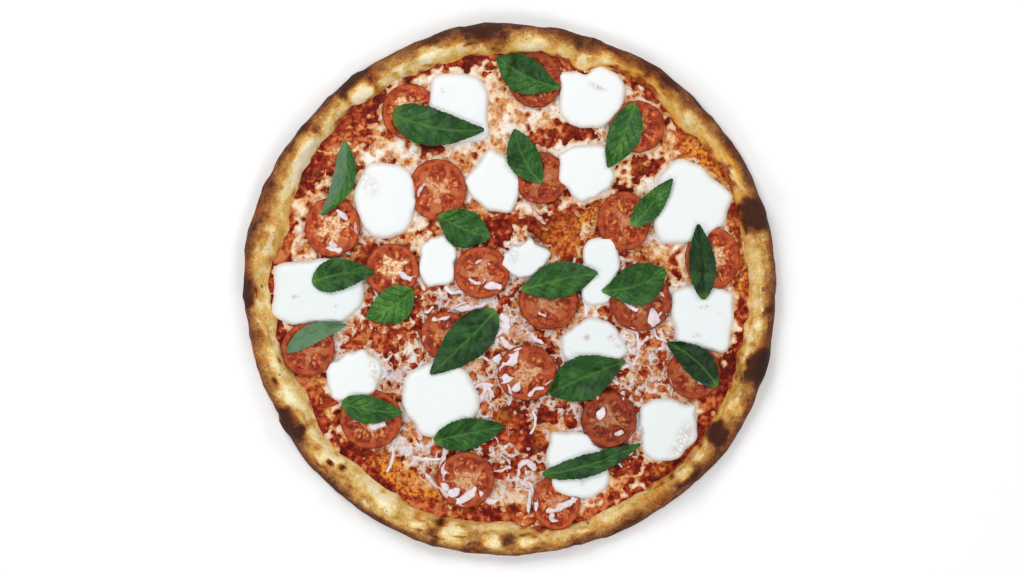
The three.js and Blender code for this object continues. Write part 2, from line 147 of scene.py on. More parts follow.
class Finish:
    """A procedural material on the Principled shader."""

    def __init__(self, name, **constants):
        self.material = bpy.data.materials.new(name)
        self.material.use_nodes = True
        self.tree = self.material.node_tree
        self.shader = self.tree.nodes["Principled BSDF"]
        self.color = paint(255, 255, 255)
        for socket, value in constants.items():
            self.shader.inputs[socket.replace("_", " ")].default_value = value
        self.place = self.node("ShaderNodeTexCoord", out="Object")

    def node(self, kind, sockets=(), out=0, stops=None, **settings):
        """Adds a node with its settings first, then its sockets, which take values or wires."""
        node = self.tree.nodes.new(kind)
        for key, value in settings.items():
            setattr(node, key, value)
        if stops:
            ramp = node.color_ramp
            while len(ramp.elements) < len(stops):
                ramp.elements.new(1)
            for element, (position, color) in zip(ramp.elements, stops):
                element.position, element.color = position, color
        for key, value in sockets.items() if isinstance(sockets, dict) else enumerate(sockets):
            if isinstance(value, Wire):
                self.tree.links.new(value.socket, node.inputs[key])
            else:
                node.inputs[key].default_value = value
        return Wire(self, node.outputs[out])

    def feed(self, **wires):
        """Links wires to the shader's own sockets."""
        for socket, wire in wires.items():
            self.tree.links.new(wire.socket, self.shader.inputs[socket.replace("_", " ")])

    def attribute(self, name):
        """What the mesh says at each point under that name."""
        return self.node("ShaderNodeAttribute", out="Fac", attribute_name=name)

    def noise(self, size, detail=2.0, shift=0.0):
        """Soft noise from 0 to 1 with spots of about that size in metres."""
        place = self.place
        if shift:
            place = self.node("ShaderNodeMapping", {"Vector": place, "Location": (shift,) * 3})
        return self.node("ShaderNodeTexNoise", {"Vector": place, "Scale": 1 / size, "Detail": detail})

    def grains(self, size, warp=0.0):
        """The distance to the middle of the nearest grain, in grain sizes, with ragged outlines."""
        place = self.place
        if warp:
            sockets = {"Vector": place, "Scale": 2.2 / size, "Detail": 2.0}
            push = self.node("ShaderNodeTexNoise", sockets, out=1)
            push = self.node("ShaderNodeVectorMath", [push, (0.5, 0.5, 0.5)], operation="SUBTRACT")
            pushed = {0: push, 1: (warp * size,) * 3, 2: place}
            place = self.node("ShaderNodeVectorMath", pushed, operation="MULTIPLY_ADD")
        return self.node("ShaderNodeTexVoronoi", {"Vector": place, "Scale": 1 / size})

    def between(self, value, low, high):
        """0 below low and 1 above high, with a soft step between."""
        sockets = {"Value": value, "From Min": low, "From Max": high}
        return self.node("ShaderNodeMapRange", sockets, interpolation_type="SMOOTHSTEP")

    def roughen(self, value, *layers):
        """The value with layers of noise added, each (size, detail, amount)."""
        for size, detail, amount in layers:
            value = value + (self.noise(size, detail) - 0.5) * amount
        return value

    def mix(self, share, first, second, how="MIX"):
        """One colour over another by a share from 0 to 1."""
        sockets = {0: share, 6: first, 7: second}
        return self.node("ShaderNodeMix", sockets, out=2, data_type="RGBA", blend_type=how)

    def coat(self, share, color, how="MIX"):
        """Lays a colour over the finish's own color by a share from 0 to 1."""
        self.color = self.mix(share, self.color, color, how)

    def ramp(self, value, *stops):
        """A colour for each value, through stops that are each (value, red, green, blue)."""
        stops = [(position, paint(*color)) for position, *color in stops]
        return self.node("ShaderNodeValToRGB", {"Fac": value}, stops=stops)

    def bump(self, height, distance):
        """Fine relief that is that many metres deep."""
        self.feed(Normal=self.node("ShaderNodeBump", {"Height": height, "Distance": distance}))


print("finish ready, a mid grey is", round(paint(128, 128, 128)[0], 3))

# %% Floor
FLOOR_SIZE = 8  # metres
FLOOR_GAP = 0.0004  # metres below the pizza, so that its underside and the floor aren't one face
floor_finish = Finish("pale_floor", Roughness=0.9, Specular_IOR_Level=0.1)
floor_finish.shader.inputs["Base Color"].default_value = paint(250, 250, 250)
bpy.ops.object.select_all(action="DESELECT")
bpy.ops.mesh.primitive_plane_add(size=FLOOR_SIZE, location=(0, 0, -FLOOR_GAP))
floor = bpy.context.active_object
floor.name = "floor"
floor.data.materials.append(floor_finish.material)
print("floor:", floor.dimensions[:])

# %% [markdown]
# ## Uneven as food
# `cloud` is soft noise in space and `grains` gives the middles of small lumps. Both draw from
# seeded tables, so every run gives the same pizza. `swell` and `ripple` make a ring uneven: the
# first adds swellings at given directions, the second waves that never fall into step.


# %% Noise
def cloud(points, size, seed=0):
    """Soft noise between about -1 and 1, with lumps of that size."""
    random = np.random.default_rng(seed)
    table = random.uniform(-1.6, 1.6, (32, 32, 32))
    turned_axes = np.linalg.qr(random.normal(size=(3, 3)))[0]
    place = np.asarray(points) @ turned_axes / size
    cell = np.floor(place).astype(int)
    share = place - cell
    share = share**3 * (share * (share * 6 - 15) + 10)
    total = np.zeros(place.shape[:-1])
    for corner in itertools.product((0, 1), repeat=3):
        index = (cell + corner) % 32
        weight = np.prod(np.where(corner, share, 1 - share), axis=-1)
        total += weight * table[index[..., 0], index[..., 1], index[..., 2]]
    return total


def clouds(points, *layers):
    """Layers of cloud added up, each (amount, size, seed)."""
    return sum(amount * cloud(points, size, seed) for amount, size, seed in layers)


def grains(x, y, size, seed=0):
    """The distance to the nearest grain's middle, in grain sizes, and that grain's own number."""
    table = np.random.default_rng(seed).random((64, 64, 3))
    u, v = x / size, y / size
    column, row = np.floor(u).astype(int), np.floor(v).astype(int)
    nearest, own = np.full(u.shape, 9.0), np.zeros(u.shape)
    for i, j in itertools.product((-1, 0, 1), repeat=2):
        spot = table[(column + i) % 64, (row + j) % 64]
        gap = np.hypot(column + i + spot[..., 0] - u, row + j + spot[..., 1] - v)
        own = np.where(gap < nearest, spot[..., 2], own)
        nearest = np.minimum(gap, nearest)
    return nearest, own


print("noise at one place:", round(float(cloud([[3, 4, 5]], 6)[0]), 2))


# %% Directions, swellings and ovals
def turn_between(start, end):
    """Degrees from one direction to another, between -180 and 180."""
    return (end - start + 180.0) % 360.0 - 180.0


def swell(angle, swellings):
    """What swellings, each (at, spread, reach), add up to in one direction."""
    return sum(reach * np.exp(-((turn_between(at, angle) / spread) ** 2)) for at, spread, reach in swellings)


def ripple(angle, phase):
    """Unevenness round a ring, between -1 and 1."""
    a = np.radians(angle)
    return (np.sin(5 * a + phase) + np.sin(11 * a + 2.3 * phase) + np.sin(17 * a + 4.1 * phase)) / 3


def smooth_step(value, low, high):
    """0 below low and 1 above high, with a soft step between."""
    share = np.clip((value - low) / (high - low), 0, 1)
    return share * share * (3 - 2 * share)


def direction_of(x, y):
    """The direction of a place from the middle, in degrees."""
    return np.degrees(np.arctan2(y, x))


def around(angle, distance):
    """Places in those directions at that distance from the middle, at height 0."""
    turn = np.radians(angle)
    return np.stack([distance * np.cos(turn), distance * np.sin(turn), 0 * turn], -1)


def on_floor(x, y):
    """Places at height 0, for noise that follows x and y alone."""
    return np.stack([x, y, 0 * x], -1)


def ovals(x, y, rows, power=1.5):
    """What soft ovals, each (x, y, width, length, turn, amount), add up to."""
    total = np.zeros(np.shape(x))
    for middle_x, middle_y, width, length, turn, amount in rows:
        c, s = math.cos(math.radians(turn)), math.sin(math.radians(turn))
        u = ((x - middle_x) * c + (y - middle_y) * s) / (width / 2)
        v = ((y - middle_y) * c - (x - middle_x) * s) / (length / 2)
        total += amount * np.exp(-0.7 * (u * u + v * v) ** power)
    return total


print("waves round a ring:", np.round(ripple(np.arange(0, 360, 60), 0), 2))

# %% [markdown]
# ## Points of a mesh
# A turned piece starts as Blender's torus. Its rings are counted from the inside over the top, round
# the outside and back below. Once the first ring has shrunk to the middle of the top, the last to
# the middle of the underside, and the rest lie on the section, the torus has become a crust, a
# slice or a slab, and its two poles are closed by merging their points.


# %% Points of a piece and the numbers on them
def points_of(piece):
    """The piece's points as rows of x, y and z."""
    places = np.empty(len(piece.data.vertices) * 3, np.float32)
    piece.data.vertices.foreach_get("co", places)
    return places.reshape(-1, 3).astype(float)


def move_points(piece, places):
    """Puts the piece's points at these places."""
    piece.data.vertices.foreach_set("co", np.asarray(places, np.float32).ravel())
    piece.data.update()


def note(piece, **values):
    """Keeps a number for each point, or one for them all, under each name, for the finish to read."""
    for name, numbers in values.items():
        attribute = piece.data.attributes.new(name, "FLOAT", "POINT")
        numbers = np.broadcast_to(np.ravel(numbers), len(piece.data.vertices)).astype(np.float32)
        attribute.data.foreach_set("value", numbers)


def note_at(piece, at, **values):
    """Keeps what tables of numbers say for each point, where `at` is the point's place in them."""
    note(piece, **{name: numbers[at] for name, numbers in values.items()})


print("numbers are kept on points, with sizes in units of", MM, "metres")


# %% Starting and finishing a piece
def pick(piece):
    """Selects one piece alone and makes it the active one, which operators work on."""
    bpy.ops.object.select_all(action="DESELECT")
    piece.select_set(True)
    bpy.context.view_layer.objects.active = piece


def start(name, primitive, **sizes):
    """Adds one primitive with nothing else selected."""
    bpy.ops.object.select_all(action="DESELECT")
    primitive(**sizes)
    piece = bpy.context.active_object
    piece.name = piece.data.name = name
    return piece


def torus(name, segments, rings):
    """A torus, the ring of each of its points from 0 at the middle of the top, and its direction."""
    piece = start(
        name, bpy.ops.mesh.primitive_torus_add,
        major_segments=segments, minor_segments=rings, major_radius=2, minor_radius=1, generate_uvs=False,
    )
    x, y, z = points_of(piece).T
    round_tube = direction_of(np.hypot(x, y) - 2, z)
    ring = np.rint((180 - round_tube) / 360 * rings).astype(int) % rings
    return piece, ring, direction_of(x, y) % 360


def grid(name, columns, rows):
    """A grid of faces, and the column and row of each of its points."""
    piece = start(name, bpy.ops.mesh.primitive_grid_add, x_subdivisions=columns, y_subdivisions=rows, size=2)
    share = (points_of(piece)[:, :2] + 1) / 2
    return piece, tuple(np.rint(share * [columns, rows]).astype(int).T)


def close_poles(piece):
    """Merges the points that lie on one place, and drops the edge that is left between the poles."""
    pick(piece)
    bpy.ops.object.mode_set(mode="EDIT")
    bpy.ops.mesh.select_all(action="SELECT")
    bpy.ops.mesh.remove_doubles(threshold=1e-6)
    bpy.ops.mesh.delete_loose(use_verts=True, use_edges=True, use_faces=False)
    bpy.ops.object.mode_set(mode="OBJECT")


def dress(piece, finish, slot, *nodes):
    """Shades a piece smooth, gives it a finish if it has none, and puts it in the place of its nodes."""
    if not piece.data.materials:
        piece.data.materials.append(finish.material)
    pick(piece)
    bpy.ops.object.shade_smooth()
    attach(piece, "root")
    if nodes:
        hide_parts(*nodes)
    print(piece.name, "has", len(piece.data.polygons), "faces")


def lay(make, rows, piece_name, finish, slot, node_name):
    """Makes and dresses a piece for each row of sizes, in the place of its own node."""
    pieces = []
    for index, row in enumerate(rows, 1):
        pieces.append(make(f"{piece_name}_{index:02d}", index, *row))
        dress(pieces[-1], finish, slot, f"{node_name}_{index:02d}")
    return pieces


print("a finished piece rides on root")


# %% [markdown]
# ## The crust
# A hand-stretched base with a raised rim. On the stone its outside browned first, the top went
# golden, and the side towards the toppings stayed pale. Thin bubbles burned black. A turned shape
# from the spin operator would do for a rim that is even all round. This one is wider, higher and
# nearer the middle in some directions than in others, so each ring's points are placed by them.

# %% Sizes of the crust, in millimetres
PIZZA_RADIUS = 228
RIM_WIDTH = 24.5
RIM_HEIGHT = 19
BASE_THICKNESS = 4.5
FOOT_CIRCLE = 204  # the rim's foot before it swells, where its raggedness is read
# Each swelling is (direction in degrees, half width in degrees, size in millimetres).
RIM_BULGES = [(97, 10, 2.4), (168, 20, 2.6), (250, 14, 2.6), (330, 18, 2.6)]
TOPPING_RUNS = [
    (28, 9, 4), (58, 9, 5), (73, 3, -7), (133, 5, 4), (148, 8, 2), (164, 6, -5), (177, 7, 4),
    (205, 6, -6), (234, 8, -4), (263, 8, -6), (284, 8, 4), (312, 9, 5),
]
RIM_BLISTERS = [
    (17, 5, 3), (44, 6, 1.5), (60, 6, -2), (74, 3, -2.5), (95, 6, 3), (112, 5, 1.5), (131, 3, -3),
    (146, 6, 2), (190, 7, -1.5), (210, 5, 2.5), (226, 3, -3), (254, 4, 2), (270, 5, 2.5), (292, 6, -1.5),
    (313, 5, 2.5), (341, 6, 3),
]
# The section from the foot over the top and down to where the crust stands: across is the share
# of the rim's width from its outside, up the share of its height.
RIM_SECTION = [
    (1, 0.237), (0.85, 0.62), (0.64, 0.91), (0.42, 1), (0.22, 0.92), (0.06, 0.68), (0, 0.36), (0.12, 0.08),
    (0.34, 0),
]
# Where sauce and oil have crept up the rim beyond its foot.
SAUCE_CREEP = [(30, 8, 5), (54, 5, 5), (62, 5, 8), (133, 4, 2.5), (276, 4, 3), (306, 5, 3), (315, 5, 3)]
# Lobes where the dough runs in under the sauce a little further, or less far, than the solid says.
FOOT_LOBES = [
    (9, 7, -3), (47, 8, -2.5), (90, 8, -1.5), (110, 7, -3), (128, 8, -3), (150, 6, -2.5), (166, 5, -2),
    (188, 6, -2.5), (208, 8, -3), (228, 6, -2), (325, 6, 1), (352, 8, -2),
]
# Where oil has made the foot yellow, with an amount in place of a size.
OIL_RUNS = [(30, 20, 0.7), (55, 12, 0.5), (92, 18, 0.8), (160, 14, 0.3), (5, 10, 0.3), (335, 14, 0.4)]


def outer_radius(angle):
    """The middle of the pizza to the outside of the rim."""
    return PIZZA_RADIUS + swell(angle, RIM_BULGES) + 0.5 * ripple(angle, 1)


def foot_radius(angle):
    """The middle of the pizza to the foot of the rim."""
    return PIZZA_RADIUS - RIM_WIDTH + swell(angle, TOPPING_RUNS)


def ragged(angle):
    """How raggedly dough and sauce meet at the foot."""
    return swell(angle, FOOT_LOBES) + clouds(around(angle, FOOT_CIRCLE), (1.4, 10, 71), (0.9, 4, 72))


def rim_height(angle):
    """The height of the rim's top above the floor."""
    return RIM_HEIGHT + swell(angle, RIM_BLISTERS) + 0.9 * ripple(angle, 2)


def through(points, count):
    """A smooth line through points, as that many places on it."""
    knots = np.asarray(points, float)
    knots = np.vstack([2 * knots[0] - knots[1], knots, 2 * knots[-1] - knots[-2]])
    t = np.linspace(0, len(points) - 1, count)
    i = np.minimum(t.astype(int), len(points) - 2)
    s = (t - i)[:, None]
    a, b, c, d = (knots[i + k] for k in range(4))
    return 0.5 * (2 * b + (c - a) * s + (2 * a - 5 * b + 4 * c - d) * s**2 + (3 * b - a - 3 * c + d) * s**3)


print("crust:", 2 * PIZZA_RADIUS, "mm across, its rim", RIM_HEIGHT, "mm high")

# %% The crust's section all the way round
SEGMENTS = 1024
BASE_RINGS, RIM_RINGS, UNDER_RINGS = 5, 64, 12
rings = BASE_RINGS + RIM_RINGS + UNDER_RINGS
crust, ring, angle = torus("crust_baked", SEGMENTS, rings)
segment = np.rint(angle / 360 * SEGMENTS).astype(int) % SEGMENTS
turn = np.arange(SEGMENTS) * 360 / SEGMENTS

section = through(RIM_SECTION, RIM_RINGS)
across, up = section[:, :1], section[:, 1:].clip(0)
outside, foot, height = outer_radius(turn), foot_radius(turn), rim_height(turn)
crest = int(np.argmax(up))
inner_z = BASE_THICKNESS + (up - RIM_SECTION[0][1]) / (1 - RIM_SECTION[0][1]) * (height - BASE_THICKNESS)
rim_z = np.where(np.arange(RIM_RINGS)[:, None] <= crest, inner_z, up * height)
rim_r = outside - across * (outside - foot) + across**6 * ragged(turn)
base_share = np.linspace(0, 1, BASE_RINGS, endpoint=False)[:, None]
under_share = np.linspace(1, 0, UNDER_RINGS + 1)[1:, None]
radius = np.vstack([base_share * rim_r[0], rim_r, under_share * rim_r[-1]])
level = np.vstack([base_share * 0 + BASE_THICKNESS + 0 * foot, rim_z, under_share * 0 * foot])
directions = around(turn, 1)[:, :2]
shell = np.concatenate([radius[..., None] * directions, level[..., None]], -1)
print("crust rings:", rings, "highest:", round(float(level.max()), 1), "mm")

# %% [markdown]
# Bubbles and marks are placed by direction and by distance from the middle. A bubble lifts the
# dough, and a mark says how far it has baked: 0 is pale, 1 is burnt.

# %% Bubbles and marks
# (direction, distance, half width in millimetres, lift)
BUBBLES = [
    (17, 216, 13, 2.0), (33, 206, 4, 2.6), (30, 209, 3, 1.6), (36, 207, 3, 1.6), (44, 216, 9, 0.9),
    (52, 219, 6, 1.0), (67, 216, 7, 1.0), (86, 214, 14, 1.2), (94, 217, 9, 1.8), (99, 220, 7, 1.6),
    (110, 214, 8, 1.2), (117, 209, 4, 1.4), (126, 222, 9, 1.4), (126, 209, 6, 1.6), (135, 213, 6, 1.0),
    (145, 215, 10, 1.6), (154, 219, 9, 0.9), (167, 214, 12, 1.0), (181, 224, 7, 1.4), (190, 218, 8, 1.2),
    (197, 211, 6, 0.8), (211, 219, 11, 2.0), (222, 213, 9, 1.2), (229, 221, 7, 1.2), (240, 213, 12, 1.0),
    (248, 216, 5, 1.4), (254, 215, 6, 1.6), (258, 211, 5, 1.4), (266, 216, 9, 1.6), (274, 217, 8, 1.6),
    (286, 220, 8, 1.0), (298, 216, 8, 0.9), (313, 217, 9, 1.8), (325, 213.5, 9, 2.0), (333, 217, 9, 0.9),
    (341, 220, 11, 2.0), (352, 215, 8, 0.8), (358, 219, 7, 1.0),
]
# (direction, distance, half width in degrees, half depth in millimetres, how far baked)
MARKS = [
    (17.3, 216, 3.6, 12, 0.9), (93.5, 215, 2.3, 14, 0.6), (98, 220, 2.7, 9, 0.58),
    (52.5, 221, 1.8, 8, 0.22), (58, 216, 1.0, 9, 0.2), (74.5, 214, 1.3, 11, 0.22), (106, 224, 4, 4, 0.3),
    (115.5, 208, 0.9, 4, 0.35), (123.7, 210, 1.6, 8, 0.5), (126.5, 224, 3.6, 6, 0.55),
    (130.6, 215, 0.8, 9, 0.5), (135.1, 212, 0.6, 2.6, 0.45), (140.2, 213, 0.7, 7, 0.4),
    (142.5, 226, 2, 4, 0.3), (180.5, 224, 2.6, 6, 0.5), (190.5, 219, 2.2, 6, 0.3),
    (193, 210, 0.6, 4, 0.15), (197.5, 208.4, 0.6, 2.3, 0.9), (200.6, 214.4, 0.6, 2, 0.6),
    (211.5, 219, 3.4, 8, 0.65), (213.8, 210, 0.9, 7, 0.5), (224, 214.6, 0.8, 3, 1.2),
    (226.2, 209.7, 0.6, 2.4, 0.9), (226.6, 206, 0.6, 8, 0.2), (228.5, 223, 2.6, 6, 0.35),
    (247.6, 211, 0.9, 4, 0.4), (253, 216, 1.3, 10, 0.45), (253.5, 207, 0.8, 5, 0.4),
    (258.3, 208, 0.8, 6, 0.25), (263, 222, 3.2, 4, 0.25), (270, 214, 1.4, 9, 0.32),
    (275, 220, 3.4, 4, 0.25), (286, 221, 2.6, 5, 0.3), (298, 220, 2.4, 5, 0.22),
    (308.3, 226, 0.8, 2.5, 0.35), (310.3, 214, 0.6, 8, 0.35), (316.5, 214, 0.6, 8, 0.3),
    (313.4, 222, 2.6, 3, 0.3), (325, 213.5, 2.4, 9, 1.0), (342.6, 221, 3.4, 10.5, 1.1),
    (348, 213, 0.5, 3, 0.3), (357, 220, 3, 5, 0.35), (345, 206, 0.6, 3, 0.35), (336, 205, 0.5, 2.2, 0.6),
    (338, 205, 0.5, 2.2, 0.55), (334, 206, 0.4, 2, 0.5), (279.5, 209, 0.5, 3, 0.3),
]
# Places that stayed pale, in the same terms.
PALE = [
    (44, 213, 3, 5, 0.25), (68, 215, 2.4, 7, 0.35), (110, 215, 2.2, 7, 0.4), (127, 210, 2.4, 6, 0.45),
    (146, 213, 4, 6, 0.4), (205, 214, 1.6, 8, 0.4), (224.5, 209, 1.4, 5, 0.35), (237, 209, 4, 6, 0.2),
    (248, 217, 1.4, 7, 0.4), (256, 213, 1.8, 8, 0.4), (265.5, 216, 1.6, 6, 0.5), (274, 216, 2.2, 5, 0.4),
    (283, 211, 3, 5, 0.2), (295, 212, 3, 5, 0.2), (313.4, 214, 2.2, 6, 0.45), (330, 212, 3, 5, 0.2),
    (350, 212, 3, 5, 0.2), (85, 211, 5, 5, 0.2), (5, 210, 4, 6, 0.2), (26, 216, 4, 6, 0.15),
]
# Broad places that have baked more than their neighbours, or less.
TONES = [
    (10, 222, 8, 3.5, -0.1), (10, 216, 8, 3, 0.08), (30, 221, 8, 4, 0.12), (50, 218, 9, 6, 0.16),
    (70, 219, 9, 6, 0.15), (90, 209, 8, 4, -0.08), (110, 210, 9, 4, -0.12), (110, 218, 9, 4, 0.15),
    (130, 211, 8, 4, -0.1), (150, 210, 9, 5, -0.25), (190, 210, 12, 4, -0.1), (190, 219, 10, 5, -0.09),
    (210, 211, 10, 6, -0.15), (230, 213, 12, 7, -0.14), (230, 222, 12, 4, -0.2), (250, 220, 10, 6, -0.22),
    (270, 222, 10, 4, -0.28), (270, 210, 8, 4, 0.1), (308, 212, 10, 7, 0.11), (310, 220, 8, 5, 0.13),
    (333, 213, 7, 7, 0.14), (350, 211, 8, 4, -0.06), (5, 215, 7, 3, -0.06), (30, 211, 5, 4, -0.1),
    (90, 221, 9, 4, -0.06), (125, 221, 14, 4, -0.05), (149, 216, 7, 4, 0.12), (200, 222, 8, 4, -0.06),
    (212, 215, 7, 4, 0.06), (245, 217, 9, 4, 0.1),
]
print("bubbles:", len(BUBBLES), "marks:", len(MARKS))


# %% The crust's relief
def spots(angle, distance, rows, power=2.0):
    """What soft oval marks on the rim add up to."""
    total = 0
    for at, middle, spread, depth, amount in rows:
        u, v = turn_between(at, angle) / spread, (distance - middle) / depth
        total = total + amount * np.exp(-0.6 * (u * u + v * v) ** power)
    return total


# The distance and height of the circle inside the rim that its surface faces away from.
RIM_MIDDLE = (212, 8)
along_ring, along_section = np.gradient(shell, axis=1), np.gradient(shell, axis=0)
normal = np.cross(along_ring, along_section)
normal /= np.maximum(np.linalg.norm(normal, axis=-1, keepdims=True), 1e-9)
away = np.dstack([directions * (radius[..., None] - RIM_MIDDLE[0]), level - RIM_MIDDLE[1]])
normal *= np.sign(np.sum(normal * away, -1, keepdims=True))
on_rim = np.zeros(rings)
on_rim[BASE_RINGS : BASE_RINGS + RIM_RINGS] = 1
shown = on_rim[:, None] * smooth_step(level, 1.5, 6)
relief = clouds(shell, (0.9, 26, 1), (0.6, 11, 2), (0.3, 5, 3), (0.12, 2.6, 4))
bubble_edge, bubble_top = np.zeros(level.shape), np.zeros(level.shape)
for at, distance, half, lift in BUBBLES:
    gap = np.linalg.norm(shell[..., :2] - around(at, distance)[:2], axis=-1) / half
    relief += lift * np.exp(-1.2 * gap**4) - 0.35 * np.exp(-((gap - 1.25) ** 2) * 12)
    bubble_edge = np.maximum(bubble_edge, np.exp(-(((gap - 1.05) / 0.12) ** 2)) * min(lift, 1.6))
    bubble_top = np.maximum(bubble_top, np.exp(-1.2 * gap**4))
crust_places = shell + normal * (relief * shown)[..., None]
crust_places[..., 2] = crust_places[..., 2].clip(0)
move_points(crust, crust_places[ring, segment] * MM)
print("crust relief from", round(float(relief.min()), 2), "to", round(float(relief.max()), 2), "mm")

# %% How far each place of the crust has baked
# From the outside of the rim, share 0, to its foot, share 1.
EDGE_BAKE = [
    (0, 0.86), (0.1, 0.78), (0.21, 0.70), (0.31, 0.61), (0.42, 0.52), (0.52, 0.43), (0.63, 0.36),
    (0.75, 0.30), (1, 0.28),
]
SIDE_BAKE, UNDER_BAKE = 0.72, 0.42
plain_radius = np.hypot(crust_places[..., 0], crust_places[..., 1])
share_out = (outside - plain_radius) / (outside - foot)  # 0 at the outside, 1 at the foot
warp = 1.6 * cloud(shell, 6, 11)
edge_bake = np.interp(share_out, *zip(*EDGE_BAKE))
side_bake = np.where(normal[..., 2] < 0.25, SIDE_BAKE + 0.1 * smooth_step(level, 1, 12), 0)
bake = np.maximum(edge_bake, side_bake * smooth_step(0.5 - share_out, 0, 0.4))
bake += clouds(shell, (0.08, 17, 12), (0.05, 7, 13), (0.03, 3, 14))
wavy = turn + 0.25 * warp, plain_radius + warp
bake += 0.8 * spots(*wavy, MARKS, 2.8) - 0.55 * spots(*wavy, PALE) * smooth_step(share_out, 0.1, 0.35)
bake += 0.26 * bubble_edge * (0.5 + 0.6 * cloud(shell, 9, 20)) - 0.1 * bubble_top
bake += spots(turn, plain_radius, TONES)
under = smooth_step(-normal[..., 2], 0.3, 0.8) * (level < 6)
bake = np.where(under > 0.5, UNDER_BAKE, bake)
drop_gap, drop_own = grains(crust_places[..., 0], crust_places[..., 1], 6.5, 18)
wet_edge = foot + ragged(turn) + swell(turn, SAUCE_CREEP) - 0.6 + clouds(shell, (2.2, 8, 17), (1.2, 3, 19))
wet_edge = wet_edge + 7 * (0.55 - drop_gap).clip(0) * drop_own
yellow = np.exp(-(((plain_radius - wet_edge) / 6.5).clip(-1, None) ** 2)) * (level > 3)
oil = yellow * (0.3 + swell(turn, OIL_RUNS))
stain = smooth_step(wet_edge - plain_radius, -1.0, 1.2) * (level > 3)
note_at(crust, (ring, segment), bake=bake, oil=oil, stain=stain, under=under)
close_poles(crust)
print("bake from", round(float(bake.min()), 2), "to", round(float(bake.max()), 2))

# %% [markdown]
# The finish turns how far each place has baked into a colour, from cream over gold and brown to
# black. A painted picture could show one baking, but noise of three sizes added to that number
# makes flecks that stay sharp close up. Flour, toasted freckles, open bubbles, char, oil and sauce
# are then laid over it one by one, each only where it belongs.

# %% The crust's finish
dough = Finish("baked_dough", Roughness=0.7, Specular_IOR_Level=0.2)
# The underside is spotted like a leopard where the dough has touched the hot stone.
leopard = dough.between(dough.noise(0.012, 3, shift=0.2), 0.5, 0.62) * 0.36
leopard = leopard + (dough.noise(0.035, 3, shift=0.6) - 0.5) * 0.7
bake_level = dough.attribute("bake") + leopard * dough.attribute("under")
fine_bake = dough.roughen(bake_level + 0.045, (0.016, 4, 0.26), (0.0038, 4, 0.38), (0.0011, 3, 0.6))
dough.color = dough.ramp(
    fine_bake,
    (0.05, 250, 240, 208), (0.20, 238, 214, 148), (0.34, 217, 181, 108), (0.46, 197, 153, 81),
    (0.56, 178, 126, 62), (0.66, 154, 100, 48), (0.76, 128, 74, 36), (0.87, 98, 52, 26),
    (1.0, 66, 32, 17),
)
flour = dough.between(dough.noise(0.010, 4, shift=0.5), 0.55, 0.62) * dough.between(bake_level, 0.52, 0.36)
dough.coat(flour * 0.55, paint(246, 234, 196))
toasty = dough.between(dough.noise(0.014, 3, shift=0.9), 0.47, 0.6) * dough.between(bake_level, 0.15, 0.4)
dough.coat(toasty * 0.8, paint(255, 220, 172), "MULTIPLY")
not_burnt = dough.between(bake_level, 0.95, 0.75)
blotches = dough.between(dough.noise(0.007, 4, shift=0.7), 0.58, 0.66) * dough.between(bake_level, 0.3, 0.5)
dough.coat(blotches * not_burnt * 0.4, paint(140, 90, 46))
# Painted shade: small pits are painted dark, as the shade inside them.
painted_pit_shade = dough.between(dough.grains(0.0085, 0.5), 0.13, 0.07) * dough.between(bake_level, 0.25, 0.4)
dough.coat(painted_pit_shade * not_burnt * 0.6, paint(96, 58, 34))
# Open bubbles: a pale ring, and a middle painted dark as the shade inside the opening.
craters = dough.grains(0.021, 0.35)
pale_ring = dough.between(craters, 0.17, 0.13) * dough.between(bake_level, 0.6, 0.4)
dough.coat(pale_ring * 0.5, paint(246, 226, 166))
painted_opening_shade = dough.between(craters, 0.115, 0.085) * dough.between(bake_level, 0.2, 0.32)
dough.coat(painted_opening_shade * not_burnt * 0.8, paint(104, 58, 30))
charred = dough.between(bake_level + (dough.noise(0.006, 4, shift=0.4) - 0.5) * 1.2, 1.1, 1.5)
dough.coat(charred * 0.6, paint(34, 20, 16))
oily = dough.attribute("oil") * dough.between(dough.noise(0.008, 3, shift=0.3), 0.32, 0.56)
oily = oily * dough.between(bake_level, 0.75, 0.5)
dough.coat(oily * 0.8, paint(232, 170, 52))
pale_stain = dough.between(dough.noise(0.004, 3), 0.3, 0.7)
stain_color = dough.mix(pale_stain, paint(120, 36, 14), paint(190, 98, 40))
dough.coat(dough.attribute("stain"), stain_color)
dough.feed(Base_Color=dough.color, Roughness=0.72 - oily * 0.35)
dough.bump(dough.noise(0.0016, 4) + dough.noise(0.0006, 2) * 0.4, 0.0005)
dress(crust, dough, "baked_dough", "crust")

# %% [markdown]
# ## Where the toppings lie
# The slices and slabs have the places and sizes of their solids. They are listed before the sauce
# and the cheese, because the shreds of cheese lie between them.

# %% Sizes and places of tomato and mozzarella, in millimetres
TOPPING_FLOOR = 8.7  # the height that toppings stand on
SINK = 1.6  # how far toppings have sunk into the melted cheese
TOMATO_THICKNESS = 4.4
# (x, y, width, length, turn)
TOMATOES = [
    (21, 180, 46, 48, 10), (-87, 153, 48, 48, 34), (-63, 86, 50, 53, 62), (-153, 54, 48, 51, 0),
    (108, 140, 48, 45, 25), (26, 96, 45, 45, 50), (97, 59, 46, 51, 5), (173, 27, 48, 53, 40),
    (-102, 17, 46, 46, 15), (-25, 15, 48, 45, 70), (32, -10, 51, 48, 30), (111, -10, 53, 51, 55),
    (-174, -51, 46, 46, 20), (-56, -39, 43, 41, 45), (14, -71, 51, 48, 12), (84, -111, 48, 48, 66),
    (157, -71, 46, 45, 38), (-120, -111, 53, 51, 8), (-39, -163, 50, 48, 28), (39, -182, 41, 48, 52),
]
